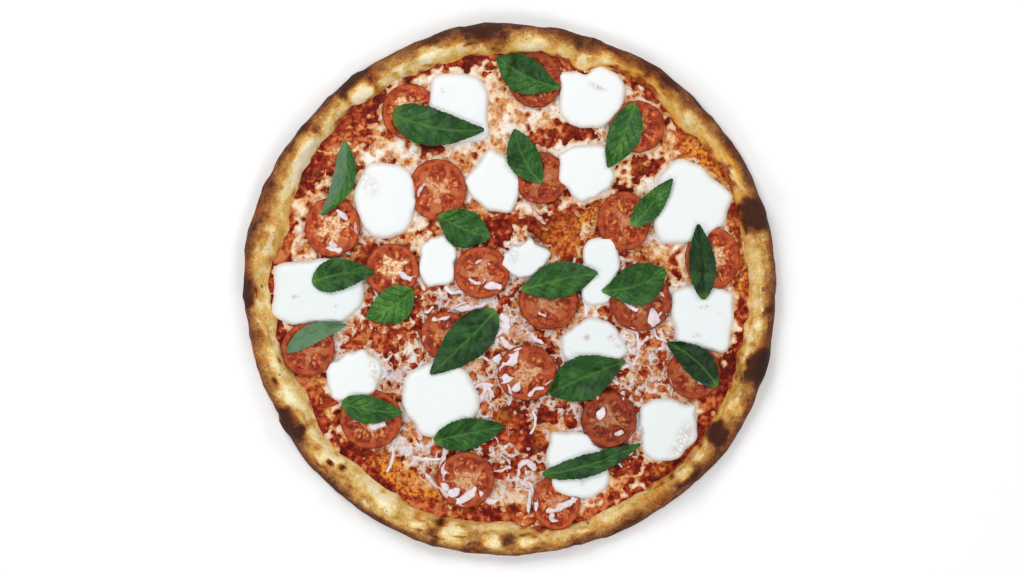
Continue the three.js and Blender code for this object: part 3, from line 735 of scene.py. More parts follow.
# (x, y, width, length, squareness, dents and bulges)
MOZZARELLA = [
    (-46, 157, 51, 55, 3.0, [(300, 25, 3), (318, 12, 4), (130, 12, 2)]),
    (69, 165, 56, 50, 2.5, [(105, 16, -6), (143, 10, 5), (70, 14, 2), (322, 18, -3)]),
    (-107, 78, 52, 62, 2.5, [(320, 22, -3), (200, 20, -2), (118, 12, 2)]),
    (-15, 92, 44, 46, 2.2, [(135, 20, -4), (96, 12, 4), (178, 12, 2), (300, 16, 3), (235, 14, -2)]),
    (
        63, 102, 46, 46, 2.5,
        [(225, 16, -5), (45, 12, 2), (350, 10, 2), (265, 15, 4), (148, 10, 3), (310, 12, -2)],
    ),
    (
        153, 74, 65, 68, 2.3,
        [(50, 18, -6), (310, 16, -4), (103, 12, 4), (150, 14, -3), (235, 14, 4), (8, 12, 2)],
    ),
    (-63, 25, 31, 38, 2.8, [(75, 14, 2), (120, 12, -2), (250, 14, 2)]),
    (
        11, 26, 36, 29, 2.2,
        [(72, 12, 5), (108, 10, -2), (150, 12, -2), (14, 13, 4), (330, 12, -2), (192, 10, 2)],
    ),
    (-165, -2, 77, 56, 3.0, [(330, 20, -4), (148, 10, 4), (205, 10, 3), (270, 14, -2)]),
    (76, 16, 33, 55, 2.4, [(330, 25, -4), (70, 14, 3), (150, 16, -3), (245, 14, 2)]),
    (70, -47, 53, 41, 2.3, [(20, 20, -2), (100, 14, 2), (145, 16, -2), (350, 12, 3)]),
    (164, -24, 55, 56, 2.4, [(200, 20, -3), (140, 10, 3), (38, 12, 4), (305, 14, 4), (90, 12, -2)]),
    (-62, -94, 62, 65, 2.3, [(225, 18, -4), (80, 12, 2), (120, 12, -2), (352, 12, 2)]),
    (-134, -74, 46, 41, 2.4, [(230, 16, 3), (135, 14, -4), (72, 12, 3), (345, 14, -2)]),
    (135, -120, 51, 51, 2.6, [(315, 20, -5), (42, 8, 5), (140, 10, 2), (250, 14, 2), (185, 10, -1.5)]),
    (57, -150, 51, 58, 2.3, [(50, 18, -6), (128, 10, 5), (325, 14, 2), (200, 14, -2)]),
]
# How large and how pale the core of each slice is, and how much darker the whole slice is made.
CORES = [
    (0.24, 0.5, 0.5), (0.34, 0.9, 0), (0.26, 0.6, 0.05), (0.34, 0.95, 0), (0.3, 0.6, 0.2),
    (0.12, 0.3, 0.4), (0.22, 0.3, 0.25), (0.4, 1.1, 0.1), (0.38, 1.1, 0.1), (0.22, 0.4, 0.2),
    (0.28, 0.4, 0.45), (0.28, 0.5, 0.65), (0.18, 0.2, 0.35), (0.2, 0.6, 0.2), (0.32, 0.7, 0.35),
    (0.24, 0.5, 0.85), (0.3, 0.4, 0.55), (0.34, 0.8, 0.3), (0.34, 0.6, 0.3), (0.28, 0.4, 0.2),
]


def oval_radius(angle, width, length, square=2.0):
    """The distance from the middle of an oval, or a squarer oval, to its edge."""
    across = np.abs(np.cos(np.radians(angle)) / (width / 2)) ** square
    upward = np.abs(np.sin(np.radians(angle)) / (length / 2)) ** square
    return (across + upward) ** (-1 / square)


def slab_radius(angle, width, length, square, lobes):
    """The distance from the middle of a slab to its uneven edge."""
    return oval_radius(angle, width, length, square) + swell(angle, lobes)


def slab_gap(x, y):
    """How far outside the nearest slab a place lies, in millimetres."""
    gaps = []
    for slab_x, slab_y, *shape in MOZZARELLA:
        toward = direction_of(x - slab_x, y - slab_y)
        gaps.append(np.hypot(x - slab_x, y - slab_y) - slab_radius(toward, *shape))
    return np.min(gaps, axis=0)


print("slices:", len(TOMATOES), "slabs:", len(MOZZARELLA))

# %% [markdown]
# ## The sauce
# Crushed tomato: small soft lumps in red pulp, wet, and orange where oil has run over it. It is a
# grid whose points are lifted onto the layer's height and whose outer edge lies inside the rim.
# A disc with a bump in its finish would look flat where light grazes it, so the lumps are real.

# %% Sauce pools and patches, in millimetres
SAUCE_TOP = 6.5
# Pools where the melted cheese is parted: (x, y, width, length, turn in degrees).
SAUCE_POOLS = [
    (-133, 145, 36, 26, 40), (-171, 104, 46, 24, 58), (-163, -104, 38, 22, 115),
    (-141, -137, 22, 18, -45), (-116, -156, 30, 20, -36), (-74, -185, 54, 17, -22),
    (-12, -191, 28, 16, -4), (14, -134, 32, 30, 20), (-5, -108, 20, 12, 0), (45, 48, 44, 38, 15),
    (42, 136, 48, 16, 5), (117, 103, 32, 16, 20), (169, 108, 28, 28, 0), (191, 67, 22, 14, 110),
    (196, -14, 32, 14, 94), (189, -55, 26, 17, 72), (179, -91, 24, 17, 62), (164, -121, 28, 15, 54),
    (140, -149, 22, 17, 42), (107, -159, 30, 22, 34), (-12, 53, 24, 28, 0), (-108, -42, 56, 20, 8),
    (-131, 31, 18, 18, 0), (-52, 195, 40, 14, 14),
]
# Where oil has stained sauce and cheese orange: (x, y, width, length, turn, amount).
OILY = [
    (45, 46, 50, 44, 10, 0.66), (68, 62, 22, 14, 20, 0.7), (72, 30, 22, 12, 20, 0.6),
    (-95, -163, 60, 26, -30, 1.3), (-116, -112, 26, 16, -20, 0.5), (-4, -108, 26, 18, 0, 0.6),
    (170, 112, 36, 22, -50, 0.9), (124, 28, 30, 22, 0, 0.5), (-160, -110, 24, 20, 0, 0.7),
    (26, -128, 18, 30, 0, 0.6), (-126, 36, 40, 22, 20, 0.5), (108, 106, 30, 16, 10, 0.5),
    (-168, -80, 16, 34, 20, 0.5), (-8, 178, 60, 14, 0, 0.5), (200, 10, 12, 60, 0, 0.4),
    (130, -160, 60, 16, 40, 0.4), (-196, 30, 12, 50, 0, 0.4), (-90, 188, 40, 12, 30, 0.4),
    (52, -92, 22, 18, 0, 0.6), (84, 72, 26, 16, 0, 0.9), (-48, 60, 20, 16, 0, 0.4),
    (-74, -187, 50, 14, -22, -0.8), (42, 136, 40, 14, 5, 0.4), (142, 122, 28, 40, 45, 0.6),
    (-98, 178, 26, 14, 30, 0.6), (-156, -137, 20, 20, 40, 0.7), (202, 30, 10, 30, 0, 0.6),
    (71, 35, 18, 20, 0, 0.7), (-23, 68, 16, 16, 0, 0.7), (-188, -20, 12, 20, 0, 0.6),
]


def gold_share(x, y):
    """How golden oil has made a place: in the oily patches, and along the rim."""
    place = on_floor(x, y)
    angle = direction_of(x, y)
    outward = foot_radius(angle) - np.hypot(x, y)
    along_rim = 0.5 * smooth_step(30 - outward - 8 * cloud(place, 18, 27), 0, 22)
    along_rim = along_rim * (0.3 + cloud(place, 16, 28)).clip(0, 1)
    red_again = smooth_step(10 - outward + 3 * cloud(place, 12, 29), 0, 7)
    red_again = red_again * (1 - 1.3 * swell(angle, OIL_RUNS)).clip(0, 1)
    return ((ovals(x, y, OILY) + along_rim) * (1 - 0.8 * red_again)).clip(0, 1.3)


def sheet(name, radius, step):
    """A square grid: the piece, the column and row of each point, and x and y over the grid."""
    count = int(2 * radius / step)
    piece, at = grid(name, count, count)
    line = np.linspace(-radius, radius, count + 1)
    return piece, at, *np.meshgrid(line, line, indexing="ij")


def set_sheet(piece, at, x, y, height, **values):
    """Lifts a grid to a height at each point, and keeps more values on its points."""
    move_points(piece, np.stack([x[at], y[at], height[at]], -1) * MM)
    note_at(piece, at, **values)


def trim(piece, radius):
    """Deletes the points beyond a radius."""
    places = points_of(piece)
    bpy.ops.object.mode_set(mode="EDIT")
    bpy.ops.mesh.select_mode(type="VERT")
    bpy.ops.mesh.select_all(action="DESELECT")
    bpy.ops.object.mode_set(mode="OBJECT")
    piece.data.vertices.foreach_set("select", np.hypot(places[:, 0], places[:, 1]) > radius * MM)
    bpy.ops.object.mode_set(mode="EDIT")
    bpy.ops.mesh.delete(type="VERT")
    bpy.ops.object.mode_set(mode="OBJECT")


def close_below(piece, floor_height):
    """Draws the open edge of a sheet down to a flat underside and closes it."""
    pick(piece)
    bpy.ops.object.mode_set(mode="EDIT")
    bpy.ops.mesh.select_all(action="SELECT")
    bpy.ops.mesh.region_to_loop()
    bpy.ops.mesh.extrude_edges_move(TRANSFORM_OT_translate={"value": (0, 0, -MM)})
    bpy.ops.transform.resize(value=(1, 1, 0))
    bpy.ops.mesh.edge_face_add()
    bpy.ops.object.mode_set(mode="OBJECT")
    places = points_of(piece)
    low = np.array([v.select for v in piece.data.vertices])
    places[low, 2] = floor_height * MM
    move_points(piece, places)


print("pools of sauce:", len(SAUCE_POOLS), "oily patches:", len(OILY))

# %% The sauce
SAUCE_REACH = 212  # into the rim
SAUCE_STEP = 1.8  # between the points of the grid
SAUCE_UNDERSIDE = BASE_THICKNESS - 0.4
sauce, at, x, y = sheet("sauce_pulp", SAUCE_REACH, SAUCE_STEP)
flat = on_floor(x, y)
lump_gap, lump_size = grains(x + 2 * cloud(flat, 6, 21), y + 2 * cloud(flat, 6, 22), 6.5, 23)
pulp = 0.55 * smooth_step(0.75 - lump_gap, 0, 0.6) * lump_size + clouds(flat, (0.25, 9, 24), (0.22, 3.6, 25))
set_sheet(sauce, at, x, y, SAUCE_TOP - 0.2 + pulp, pulp=pulp, oil=gold_share(x, y), tone=cloud(flat, 28, 26))
trim(sauce, SAUCE_REACH)
close_below(sauce, SAUCE_UNDERSIDE)

red_sauce = Finish("tomato_sauce", Roughness=0.3, Specular_IOR_Level=0.13)
lumps = (red_sauce.noise(0.0045, 3) - 0.5) * 1.2 + (0.45 - red_sauce.grains(0.0034, 0.9)) * 0.3
redness = red_sauce.attribute("pulp") * 0.35 + lumps + red_sauce.attribute("tone") * 0.12 + 0.32
red_sauce.color = red_sauce.ramp(
    redness,
    (0.10, 82, 10, 3), (0.25, 116, 20, 7), (0.38, 144, 42, 15), (0.50, 170, 72, 32), (0.64, 198, 116, 64),
)
oil_share = red_sauce.attribute("oil") * (0.3 + red_sauce.noise(0.006, 3) * 1.1) * 0.8
gold_flecks = red_sauce.between(red_sauce.noise(0.003, 3, shift=0.7), 0.42, 0.60)
oil_color = red_sauce.mix(gold_flecks, paint(150, 48, 16), paint(222, 142, 48))
red_sauce.coat(red_sauce.between(oil_share, 0.15, 0.75), oil_color)
red_sauce.feed(Base_Color=red_sauce.color, Roughness=0.14 + red_sauce.noise(0.003, 2) * 0.22)
red_sauce.bump(red_sauce.noise(0.0024, 4) + red_sauce.noise(0.0009, 2) * 0.4, 0.0007)
dress(sauce, red_sauce, "tomato_sauce", "sauce")

# %% [markdown]
# ## The melted cheese
# Grated cheese melts into a lace: strands and small drops that have run together, with gaps where
# the sauce shows. Thousands of single shreds would be slow and look dry. So one dense sheet is
# lifted where there is cheese and dips under the sauce where there is none, and the edge of every
# gap is a real edge. Its points also keep how thick the cheese is, and the finish turns that into
# colour, from stained and thin to white and thick.

# %% Patches of cheese
# More cheese: (x, y, width, length, turn, amount). A negative amount means less.
COVER = [
    (-20, 160, 60, 50, 0, 0.5), (-20, 70, 60, 30, 0, 0.1), (100, 40, 40, 30, 0, 0.1),
    (10, -40, 60, 40, 0, 0.2), (-27, -11, 16, 12, 20, 0.9), (-6, -27, 14, 10, 0, 0.9),
    (-5, -176, 24, 18, 0, 0.9), (-42, 129, 16, 12, 0, 0.7), (-122, -60, 30, 20, 0, 0.2),
    (20, -180, 50, 30, 0, 0.3), (110, 130, 30, 30, 0, 0.2), (-150, 60, 30, 30, 0, 0.1),
    (60, -90, 40, 30, 0, 0.1), (120, -40, 50, 40, 0, 0.1), (40, 15, 60, 40, 0, -0.4),
    (20, 50, 50, 40, 0, -0.3), (-40, 105, 90, 60, 20, 0.35), (-70, -60, 120, 90, 0, -0.2),
    (60, -60, 130, 80, 0, -0.15), (0, -100, 100, 50, 0, -0.1), (165, 60, 80, 130, 0, 0.3),
    (75, 165, 130, 70, 0, 0.4), (-75, 165, 120, 50, 30, 0.15), (-180, -60, 50, 90, 0, 0.15),
    (-10, 135, 34, 30, 0, 0.6), (-90, 124, 44, 20, 10, 0.6), (78, 112, 26, 16, 0, 0.4),
    (112, 120, 28, 18, 0, 0.4), (75, 72, 24, 20, 0, 0.4), (-122, 46, 22, 18, 0, 0.6),
    (-36, -14, 24, 16, 0, 0.6), (-32, -62, 22, 26, 0, 0.7), (-4, -30, 34, 18, 0, 0.6),
    (108, -60, 46, 30, 0, 0.2), (0, 82, 20, 12, 0, 0.4), (-92, -138, 38, 20, -20, 0.7),
    (-72, -166, 30, 16, -20, 0.6), (-10, -175, 30, 18, 0, 0.6), (-172, 110, 34, 44, 0, -0.4),
    (-182, 59, 26, 30, 0, 0.7), (-197, 15, 16, 44, 0, -0.3), (44, 60, 30, 16, 0, -0.3),
    (-8, 60, 24, 26, 0, -0.5), (36, -86, 20, 16, 0, 1.2), (36, -118, 22, 28, 0, -0.4),
    (190, -98, 18, 34, 0, -0.3), (-58, -8, 30, 16, 0, 0.5), (-81, -25, 20, 14, 0, -0.5),
    (-30, -70, 18, 24, 0, 0.4), (-116, 120, 34, 16, 20, 0.4), (26, 36, 24, 12, 0, 0.3),
    (42, 136, 50, 20, 5, -0.8), (169, 108, 30, 28, 0, -0.6), (107, -160, 22, 16, 30, 0.5),
    (-42, 14, 50, 44, 0, 0.4), (44, -30, 40, 30, 0, -0.2), (20, 150, 40, 30, 0, 0.3),
    (-108, -42, 44, 18, 8, -0.3), (-74, -186, 50, 16, -22, -0.4), (-152, -38, 18, 28, -10, 0.7),
    (22, 72, 24, 20, 0, 0.7), (-104, -73, 22, 18, 30, 0.9), (-98, 176, 22, 12, 30, 0.8),
    (-41, -62, 16, 16, 0, 1.2), (-106, 153, 12, 20, 0, 1.3), (53, 84, 12, 14, 0, -1.4),
    (13, 8, 16, 12, 0, 0.7), (181, -54, 12, 18, 0, 0.8), (-9, -75, 20, 16, 0, 0.5),
    (-79, -143, 24, 18, -20, 0.9), (-150, -55, 14, 12, 0, 0.5), (-155, -137, 20, 20, 40, 1.2),
    (-73, 121, 16, 22, 0, -0.8), (-1, -126, 22, 18, 0, -0.7), (-111, -25, 16, 14, 0, -1.1),
    (72, 36, 16, 20, 0, -1.1), (183, -11, 12, 16, 0, -1.3), (-192, 18, 14, 16, 0, -1.1),
    (-123, 5, 14, 16, 0, -0.4), (82, -31, 26, 12, 0, -1.0), (84, -86, 14, 10, 0, -0.6),
    (60, -5, 14, 12, 0, -0.9), (202, 31, 12, 24, 0, 1.3), (-83, -77, 12, 12, 0, -0.8),
    (-53, -145, 12, 12, 0, -0.6), (-23, 68, 14, 14, 0, -0.6), (6, -160, 20, 18, 0, -0.7),
    (-188, -20, 12, 16, 0, -0.9), (-59, 179, 16, 12, 0, -0.7), (-196, 30, 12, 18, 0, -0.8),
    (16, -190, 18, 12, 0, -0.6), (-71, -119, 16, 12, 0, -0.8), (-18, -154, 14, 14, 0, -0.6),
    (180, 50, 14, 20, 0, 0.8), (88, 111, 14, 12, 0, 0.7), (-28, -5, 14, 14, 0, 0.7),
    (-5, 113, 14, 12, 0, 0.7), (121, 90, 18, 22, 0, 0.9), (-28, -61, 14, 14, 0, 0.4),
    (114, 158, 16, 12, 0, 0.9), (-145, -89, 12, 12, 0, 0.7), (140, -59, 12, 12, 0, 0.6),
]
# Where cheese has burnt brown: (x, y, width, length, turn, amount).
BURNT = [
    (19, 43, 13, 10, -40, 1.0), (27, 37, 9, 7, 0, 0.8), (184, 82, 11, 17, 20, 0.9),
    (170, 109, 24, 10, -50, 0.45), (177, 98, 8, 8, 0, 0.6), (-30, 128, 7, 6, 0, 0.6),
    (-84, 118, 8, 6, 0, 0.5), (58, 66, 16, 8, 20, 0.5),
]
print("patches with more or less cheese:", len(COVER), "burnt ones:", len(BURNT))

# %% How much cheese lies at each place
CHEESE_REACH = 209
CHEESE_STEP = 1.3
CHEESE_UNDERSIDE = SAUCE_TOP - 2.4
cheese, at, x, y = sheet("cheese_lace", CHEESE_REACH, CHEESE_STEP)
flat = on_floor(x, y)
pools = [(*pool, -1.0) for pool in SAUCE_POOLS]
cover = 0.40 + ovals(x, y, COVER) + 0.7 * ovals(x, y, pools, 1.2).clip(-1.1, 0) + 0.25 * cloud(flat, 24, 31)
from_foot = foot_radius(direction_of(x, y)) - np.hypot(x, y)
cover -= 0.75 * smooth_step(9 - from_foot + 5 * cloud(flat, 10, 32), 0, 8)
cover -= 0.12 * smooth_step(22 - from_foot, 0, 14)
sway_x, sway_y = x + 2.4 * cloud(flat, 5, 33), y + 2.4 * cloud(flat, 5, 34)
drop_gap, _ = grains(sway_x, sway_y, 5.2, 35)
veins = 1 - np.abs(cloud(flat, 7, 36)) * 2.2
# Round a slab the cheese stands up as a skirt, and a film of its milk runs over it.
gap = slab_gap(x, y)
skirt = smooth_step(7 - gap + 4 * cloud(flat, 8, 43), 0, 7)
film = smooth_step(1.5 - gap + 6 * cloud(flat, 9, 44), 0, 4)
burnt = ovals(x, y, BURNT)
melt = 0.95 * cover + 0.02 + clouds(flat, (0.34, 8.5, 37), (0.47, 4.6, 38))
melt += 0.25 * (0.55 - drop_gap) + 0.35 * veins.clip(-0.5, 1) + 0.75 * skirt + 0.6 * burnt
thick = smooth_step(melt, -0.05, 0.55)
lace_top = SAUCE_TOP - 0.9 + 1.5 * thick + 0.6 * smooth_step(melt, 0.5, 1.2) + 0.16 * cloud(flat, 3, 39)
print("cheese shows over", round(float(np.mean(melt > 0.12)), 2), "of the sauce")


# %% The sheet of cheese
def cool_share(x, y):
    """How bluish the cheese is: warm and creamy at the top, cooler at the middle and below."""
    cool = smooth_step(0.25 - y / 130 + 0.6 * cloud(on_floor(x, y), 38, 42), -0.4, 0.8)
    return cool * smooth_step(200 - np.hypot(x, y), 0, 45)


gold = gold_share(x, y)
set_sheet(cheese, at, x, y, lace_top, melt=melt, gold=gold, tone=cool_share(x, y), film=film, burnt=burnt)
trim(cheese, CHEESE_REACH)
close_below(cheese, CHEESE_UNDERSIDE)
print("sheet of cheese:", len(cheese.data.polygons), "faces")

# %% [markdown]
# Thin cheese takes the red of the sauce, and thick cheese stays white. One number, the body, says
# which it is, with a net of meshes and fine noise in it, and a ramp gives its colour. Oil, toasted
# spots, pores and flecks lie over that. Translucent cheese over real sauce would need light that
# scatters inside it, and that can't be baked into a plain colour.

# %% The melted cheese's finish
lace = Finish("melted_cheese", Roughness=0.35, Specular_IOR_Level=0.16)
# Towards the cool side the grated cheese has run into a net, with sauce in its meshes.
bent = lace.node("ShaderNodeTexNoise", {"Vector": lace.place, "Scale": 320.0, "Detail": 2.0}, out=1)
bent = lace.node("ShaderNodeVectorMath", {0: bent, 1: (0.005,) * 3, 2: lace.place}, operation="MULTIPLY_ADD")
meshes = lace.node("ShaderNodeTexVoronoi", {"Vector": bent, "Scale": 150.0}, feature="DISTANCE_TO_EDGE")
netted = lace.between(lace.attribute("tone") * 0.6 + lace.noise(0.03, 2, shift=0.4) * 0.8, 0.35, 0.75)
net = (lace.between(meshes, 0.22, 0.04) - 0.42) * netted
body = lace.roughen(lace.attribute("melt") * 0.55, (0.0044, 3, 0.9), (0.0017, 3, 0.4)) + net * 0.5 + 0.11
lace.color = lace.ramp(
    body,
    (0.00, 92, 18, 6), (0.12, 128, 40, 14), (0.22, 166, 80, 38), (0.33, 206, 147, 95),
    (0.46, 226, 192, 158), (0.64, 237, 218, 194), (0.92, 244, 236, 226),
)
golden = lace.attribute("gold") * 0.75 + lace.between(lace.noise(0.02, 2, shift=0.5), 0.48, 0.62) * 0.5
cool = lace.attribute("tone") * lace.noise(0.012, 2) * 1.5
lace.coat(cool, paint(220, 214, 236), "MULTIPLY")
lace.coat(golden, paint(255, 212, 128), "MULTIPLY")
# Oil has run together into orange spots with a browned middle.
oil_spots = lace.grains(0.0075, 0.9)
toasted = lace.between(golden * 0.35 + lace.noise(0.009, 2, shift=0.6) * 0.9 - oil_spots * 0.6, 0.12, 0.46)
toast_color = lace.ramp(
    lace.noise(0.0028, 3, shift=0.2),
    (0.30, 126, 44, 18), (0.45, 184, 94, 40), (0.60, 222, 154, 82), (0.75, 236, 190, 120),
)
lace.coat(toasted * 0.8, toast_color)
# Pores let the sauce through, and herbs and burnt crumbs leave dark flecks.
pores = lace.between(lace.grains(0.0048, 1.0) + lace.noise(0.012, 1, shift=0.9) * 0.5, 0.46, 0.30)
lace.coat(pores * 0.65, paint(126, 42, 20))
flecks = lace.between(lace.grains(0.0029, 0.8) + lace.noise(0.016, 1, shift=0.1) * 0.5, 0.38, 0.26)
lace.coat(flecks * 0.75, paint(142, 78, 50))
smeared = lace.attribute("film") * lace.between(lace.noise(0.0035, 3, shift=0.3), 0.34, 0.58)
lace.coat(smeared * 0.7, paint(238, 234, 230))
charred = lace.attribute("burnt") * lace.between(lace.noise(0.0034, 3, shift=0.8), 0.40, 0.54)
lace.coat(charred * 0.85, paint(84, 44, 30))
lace.feed(Base_Color=lace.color, Roughness=0.2 + lace.noise(0.004, 2) * 0.25)
lace.bump(body + lace.noise(0.0008, 2) * 0.2, 0.0011)
dress(cheese, lace, "melted_cheese", "melted_cheese")

# %% [markdown]
# ## Strands of cheese
# Some of the grated cheese has melted into strands and drops that lie on the sheet and across the
# slices. A strand is a ball of few faces. An Array modifier makes one for each strand, and then
# every ball is drawn out along its own line and laid on what is below it.

# %% Strands and drops seen on the slices
# Strands and drops seen on the slices and round them: (start, middle, end, width), in millimetres.
# The last number is the tone, from pink and thin at 0 to white at 1.
STRANDS = [
    ((-146, 66), (-148, 58), (-150, 50), 4, 0.4), ((-156, 41), (-152, 38), (-149, 39), 5, 0.6),
    ((-149, 68), (-144, 64), (-141, 60), 4, 0.5), ((-96, 17), (-88, 10), (-80, 12), 5, 0.7),
    ((-82, 12), (-78, 8), (-75, 0), 3.4, 0.5), ((-80, 80), (-76, 88), (-71, 94), 3, 0.3),
    ((-30, 22), (-24, 25), (-18, 22), 4, 0.4), ((-36, 10), (-28, 6), (-22, 10), 3.4, 0.5),
    ((-22, 2), (-16, 4), (-8, 2), 5, 0.7), ((20, -16), (24, -20), (30, -22), 3.4, 0.3),
    ((93, -3), (100, -10), (108, -18), 6, 0.8), ((118, -24), (122, -24), (127, -23), 14, 0.6),
    ((-14, -56), (-4, -62), (7, -52), 9, 0.75), ((-5, -72), (-5, -76), (-4, -80), 12, 0.75),
    ((3, -81), (5, -82), (8, -82), 9, 0.75), ((14, -94), (20, -86), (28, -84), 3.4, 0.5),
    ((74, -105), (77, -106), (81, -107), 9, 0.9), ((88, -122), (92, -124), (95, -121), 4, 0.3),
    ((148, -68), (154, -72), (162, -70), 4.5, 0.5), ((160, -78), (165, -80), (170, -76), 3.4, 0.4),
    ((-130, -108), (-120, -117), (-108, -114), 6, 0.6), ((-58, -156), (-56, -157), (-55, -158), 7, 0.8),
    ((-55, -134), (-60, -158), (-54, -172), 6, 0.5), ((-54, -172), (-48, -174), (-46, -169), 7, 0.7),
    ((-48, -182), (-38, -178), (-30, -168), 7, 0.7), ((14, -164), (20, -176), (21, -190), 6, 0.6),
    ((30, -190), (42, -186), (54, -180), 7, 0.5), ((36, -192), (34, -196), (40, -198), 5, 0.5),
    ((52, -178), (60, -182), (68, -178), 4, 0.5), ((-26, -172), (-18, -182), (-6, -176), 5, 0.6),
    ((-78, -152), (-62, -170), (-40, -186), 4, 0.3), ((6, -160), (12, -148), (22, -156), 5, 0.5),
    ((-30, -98), (-24, -90), (-22, -80), 5, 0.5), ((66, 28), (70, 22), (66, 14), 5, 0.6),
    ((-8, -40), (-2, -48), (10, -50), 6, 0.6), ((-24, -30), (-12, -28), (-4, -36), 5.5, 0.6),
    ((-40, -14), (-30, -16), (-22, -10), 6, 0.6), ((-10, -22), (-4, -28), (-6, -36), 7, 0.8),
    ((-118, 4), (-112, -8), (-102, -12), 4, 0.4),
]
print("strands and drops:", len(STRANDS))

# %% Lines of all the strands
LOOSE_STRANDS = 60
STRAND_TRIES = 9000  # places drawn, of which the first that are free and cheesy enough are kept


def on_grid(values, reach, x, y):
    """What a grid says at places between its points."""
    count = len(values) - 1
    u = np.clip((x + reach) / (2 * reach) * count, 0, count - 0.001)
    v = np.clip((y + reach) / (2 * reach) * count, 0, count - 0.001)
    i, j = u.astype(int), v.astype(int)
    u, v = u - i, v - j
    near_side = values[i, j] * (1 - u) + values[i + 1, j] * u
    far_side = values[i, j + 1] * (1 - u) + values[i + 1, j + 1] * u
    return near_side * (1 - v) + far_side * v


def ground_under(x, y):
    """The height of the sheet, or of the slice that lies on it."""
    ground = on_grid(np.maximum(lace_top, SAUCE_TOP - 0.1), CHEESE_REACH, x, y)
    for middle_x, middle_y, width, length, _ in TOMATOES:
        inward = (1 - np.hypot((x - middle_x) / (width / 2), (y - middle_y) / (length / 2))) * width / 2
        top = TOPPING_FLOOR + (TOMATO_THICKNESS + 1.3) * smooth_step(inward, -0.8, 1.6) - 1.5
        ground = np.maximum(ground, top)
    return ground


def share_out_of(rows, x, y):
    """How far out a place lies on the nearest topping: 0 in its middle, 1 at its edge."""
    nearest = np.full(np.shape(x), 9.0)
    for middle_x, middle_y, width, length, *_ in rows:
        nearest = np.minimum(nearest, np.hypot((x - middle_x) / (width / 2), (y - middle_y) / (length / 2)))
    return nearest


random = np.random.default_rng(7)
middle = random.uniform(-205, 205, (STRAND_TRIES, 2))
inside = np.hypot(*middle.T) < foot_radius(direction_of(*middle.T)) - 8
share = cool_share(*middle.T) ** 1.5 * np.clip(0.3 + on_grid(cover, CHEESE_REACH, *middle.T), 0.02, 1)
clear = (share_out_of(TOMATOES, *middle.T) > 0.86) & (share_out_of(MOZZARELLA, *middle.T) > 1.1)
middle = middle[inside & clear & (random.random(STRAND_TRIES) < share)][:LOOSE_STRANDS]
count = len(middle)
heading, length = random.uniform(0, math.pi, count), random.uniform(7, 26, count)
half = (length / 2)[:, None] * np.stack([np.cos(heading), np.sin(heading)], -1)
aside = random.uniform(-0.45, 0.45, (count, 1)) * half[:, ::-1] * [-1, 1]
loose = np.stack([middle - half, middle + aside, middle + half], 1)
lines = np.concatenate([loose, [row[:3] for row in STRANDS]])
widths = np.concatenate([random.uniform(2.4, 4.2, count), [row[3] for row in STRANDS]])[:, None]
tones = np.concatenate([random.uniform(0.1, 0.8, count), [row[4] for row in STRANDS]])[:, None]
print("strands:", len(lines))

# %% Strands
strands = start("cheese_strands", bpy.ops.mesh.primitive_uv_sphere_add, segments=8, ring_count=12, radius=1)
unit = points_of(strands)
copies = strands.modifiers.new("copies", "ARRAY")
copies.count = len(lines)
bpy.ops.object.modifier_apply(modifier=copies.name)
along, sideways, rise = unit[:, 2], unit[:, 0], unit[:, 1]
blunt = (1.0001 - along**2) ** -0.22  # blunt ends, and an even width between them
t = (along[:, None] + 1) / 2
first, bend, last = (lines[:, k, None, :] for k in range(3))
bend = 2 * bend - (first + last) / 2
line = (1 - t) ** 2 * first + 2 * t * (1 - t) * bend + t**2 * last
heading = 2 * (1 - t) * (bend - first) + 2 * t * (last - bend)
heading /= np.linalg.norm(heading, axis=-1, keepdims=True)
spread = widths / 2 * (1 + 0.35 * cloud(on_floor(line[..., 0], line[..., 1]), 5, 51)) * blunt
places = line + (sideways * spread)[..., None] * np.stack([-heading[..., 1], heading[..., 0]], -1)
flat = on_floor(places[..., 0], places[..., 1])
places += 0.7 * np.stack([cloud(flat, 4, 52), cloud(flat, 4, 53)], -1)
sag = 0.2 + 0.03 * widths
height = ground_under(places[..., 0], places[..., 1]) + 0.1 + sag * rise * blunt
move_points(strands, np.dstack([places, height]) * MM)
note(strands, edge=np.abs(sideways) + 0 * spread, own=tones + 0 * spread)
print("strands laid between", round(float(height.min()), 1), "and", round(float(height.max()), 1), "mm")

# %% The strands' finish
strand = Finish("cheese_strands", Roughness=0.33, Specular_IOR_Level=0.3)
milky = strand.attribute("own") * 0.55 + strand.noise(0.0036, 4) * 0.8 - strand.attribute("edge") ** 2.0 * 0.3
strand.color = strand.ramp(
    milky,
    (0.15, 158, 80, 56), (0.32, 194, 138, 120), (0.50, 212, 182, 176), (0.70, 224, 210, 214),
    (1.00, 234, 230, 238),
)
strand.feed(Base_Color=strand.color)
strand.bump(strand.noise(0.0016, 3), 0.0005)
dress(strands, strand, "melted_cheese")

# %% [markdown]
# ## Fresh mozzarella
# Thick white slabs that have slumped into low domes with soft, slightly melted edges. Each is a
# torus set on a dome's section, over an outline that is a squarish oval with dents. A bevelled
# cylinder would give every slab one even edge. Here the edge's form is a list of its own.

# %% Mozzarella
MOZZARELLA_HEIGHT = 5.6  # of a slab that is 50 mm across
SLAB_SEGMENTS = 144
# The dome's section: share of the radius and share of the height, from the middle outwards.
DOME = [
    (0, 1), (0.3, 0.99), (0.55, 0.97), (0.74, 0.93), (0.87, 0.83), (0.95, 0.62), (1, 0.3), (1.025, -0.1),
    (1.025, -0.4),
]
DOME_RINGS, DOME_UNDER = 30, 3
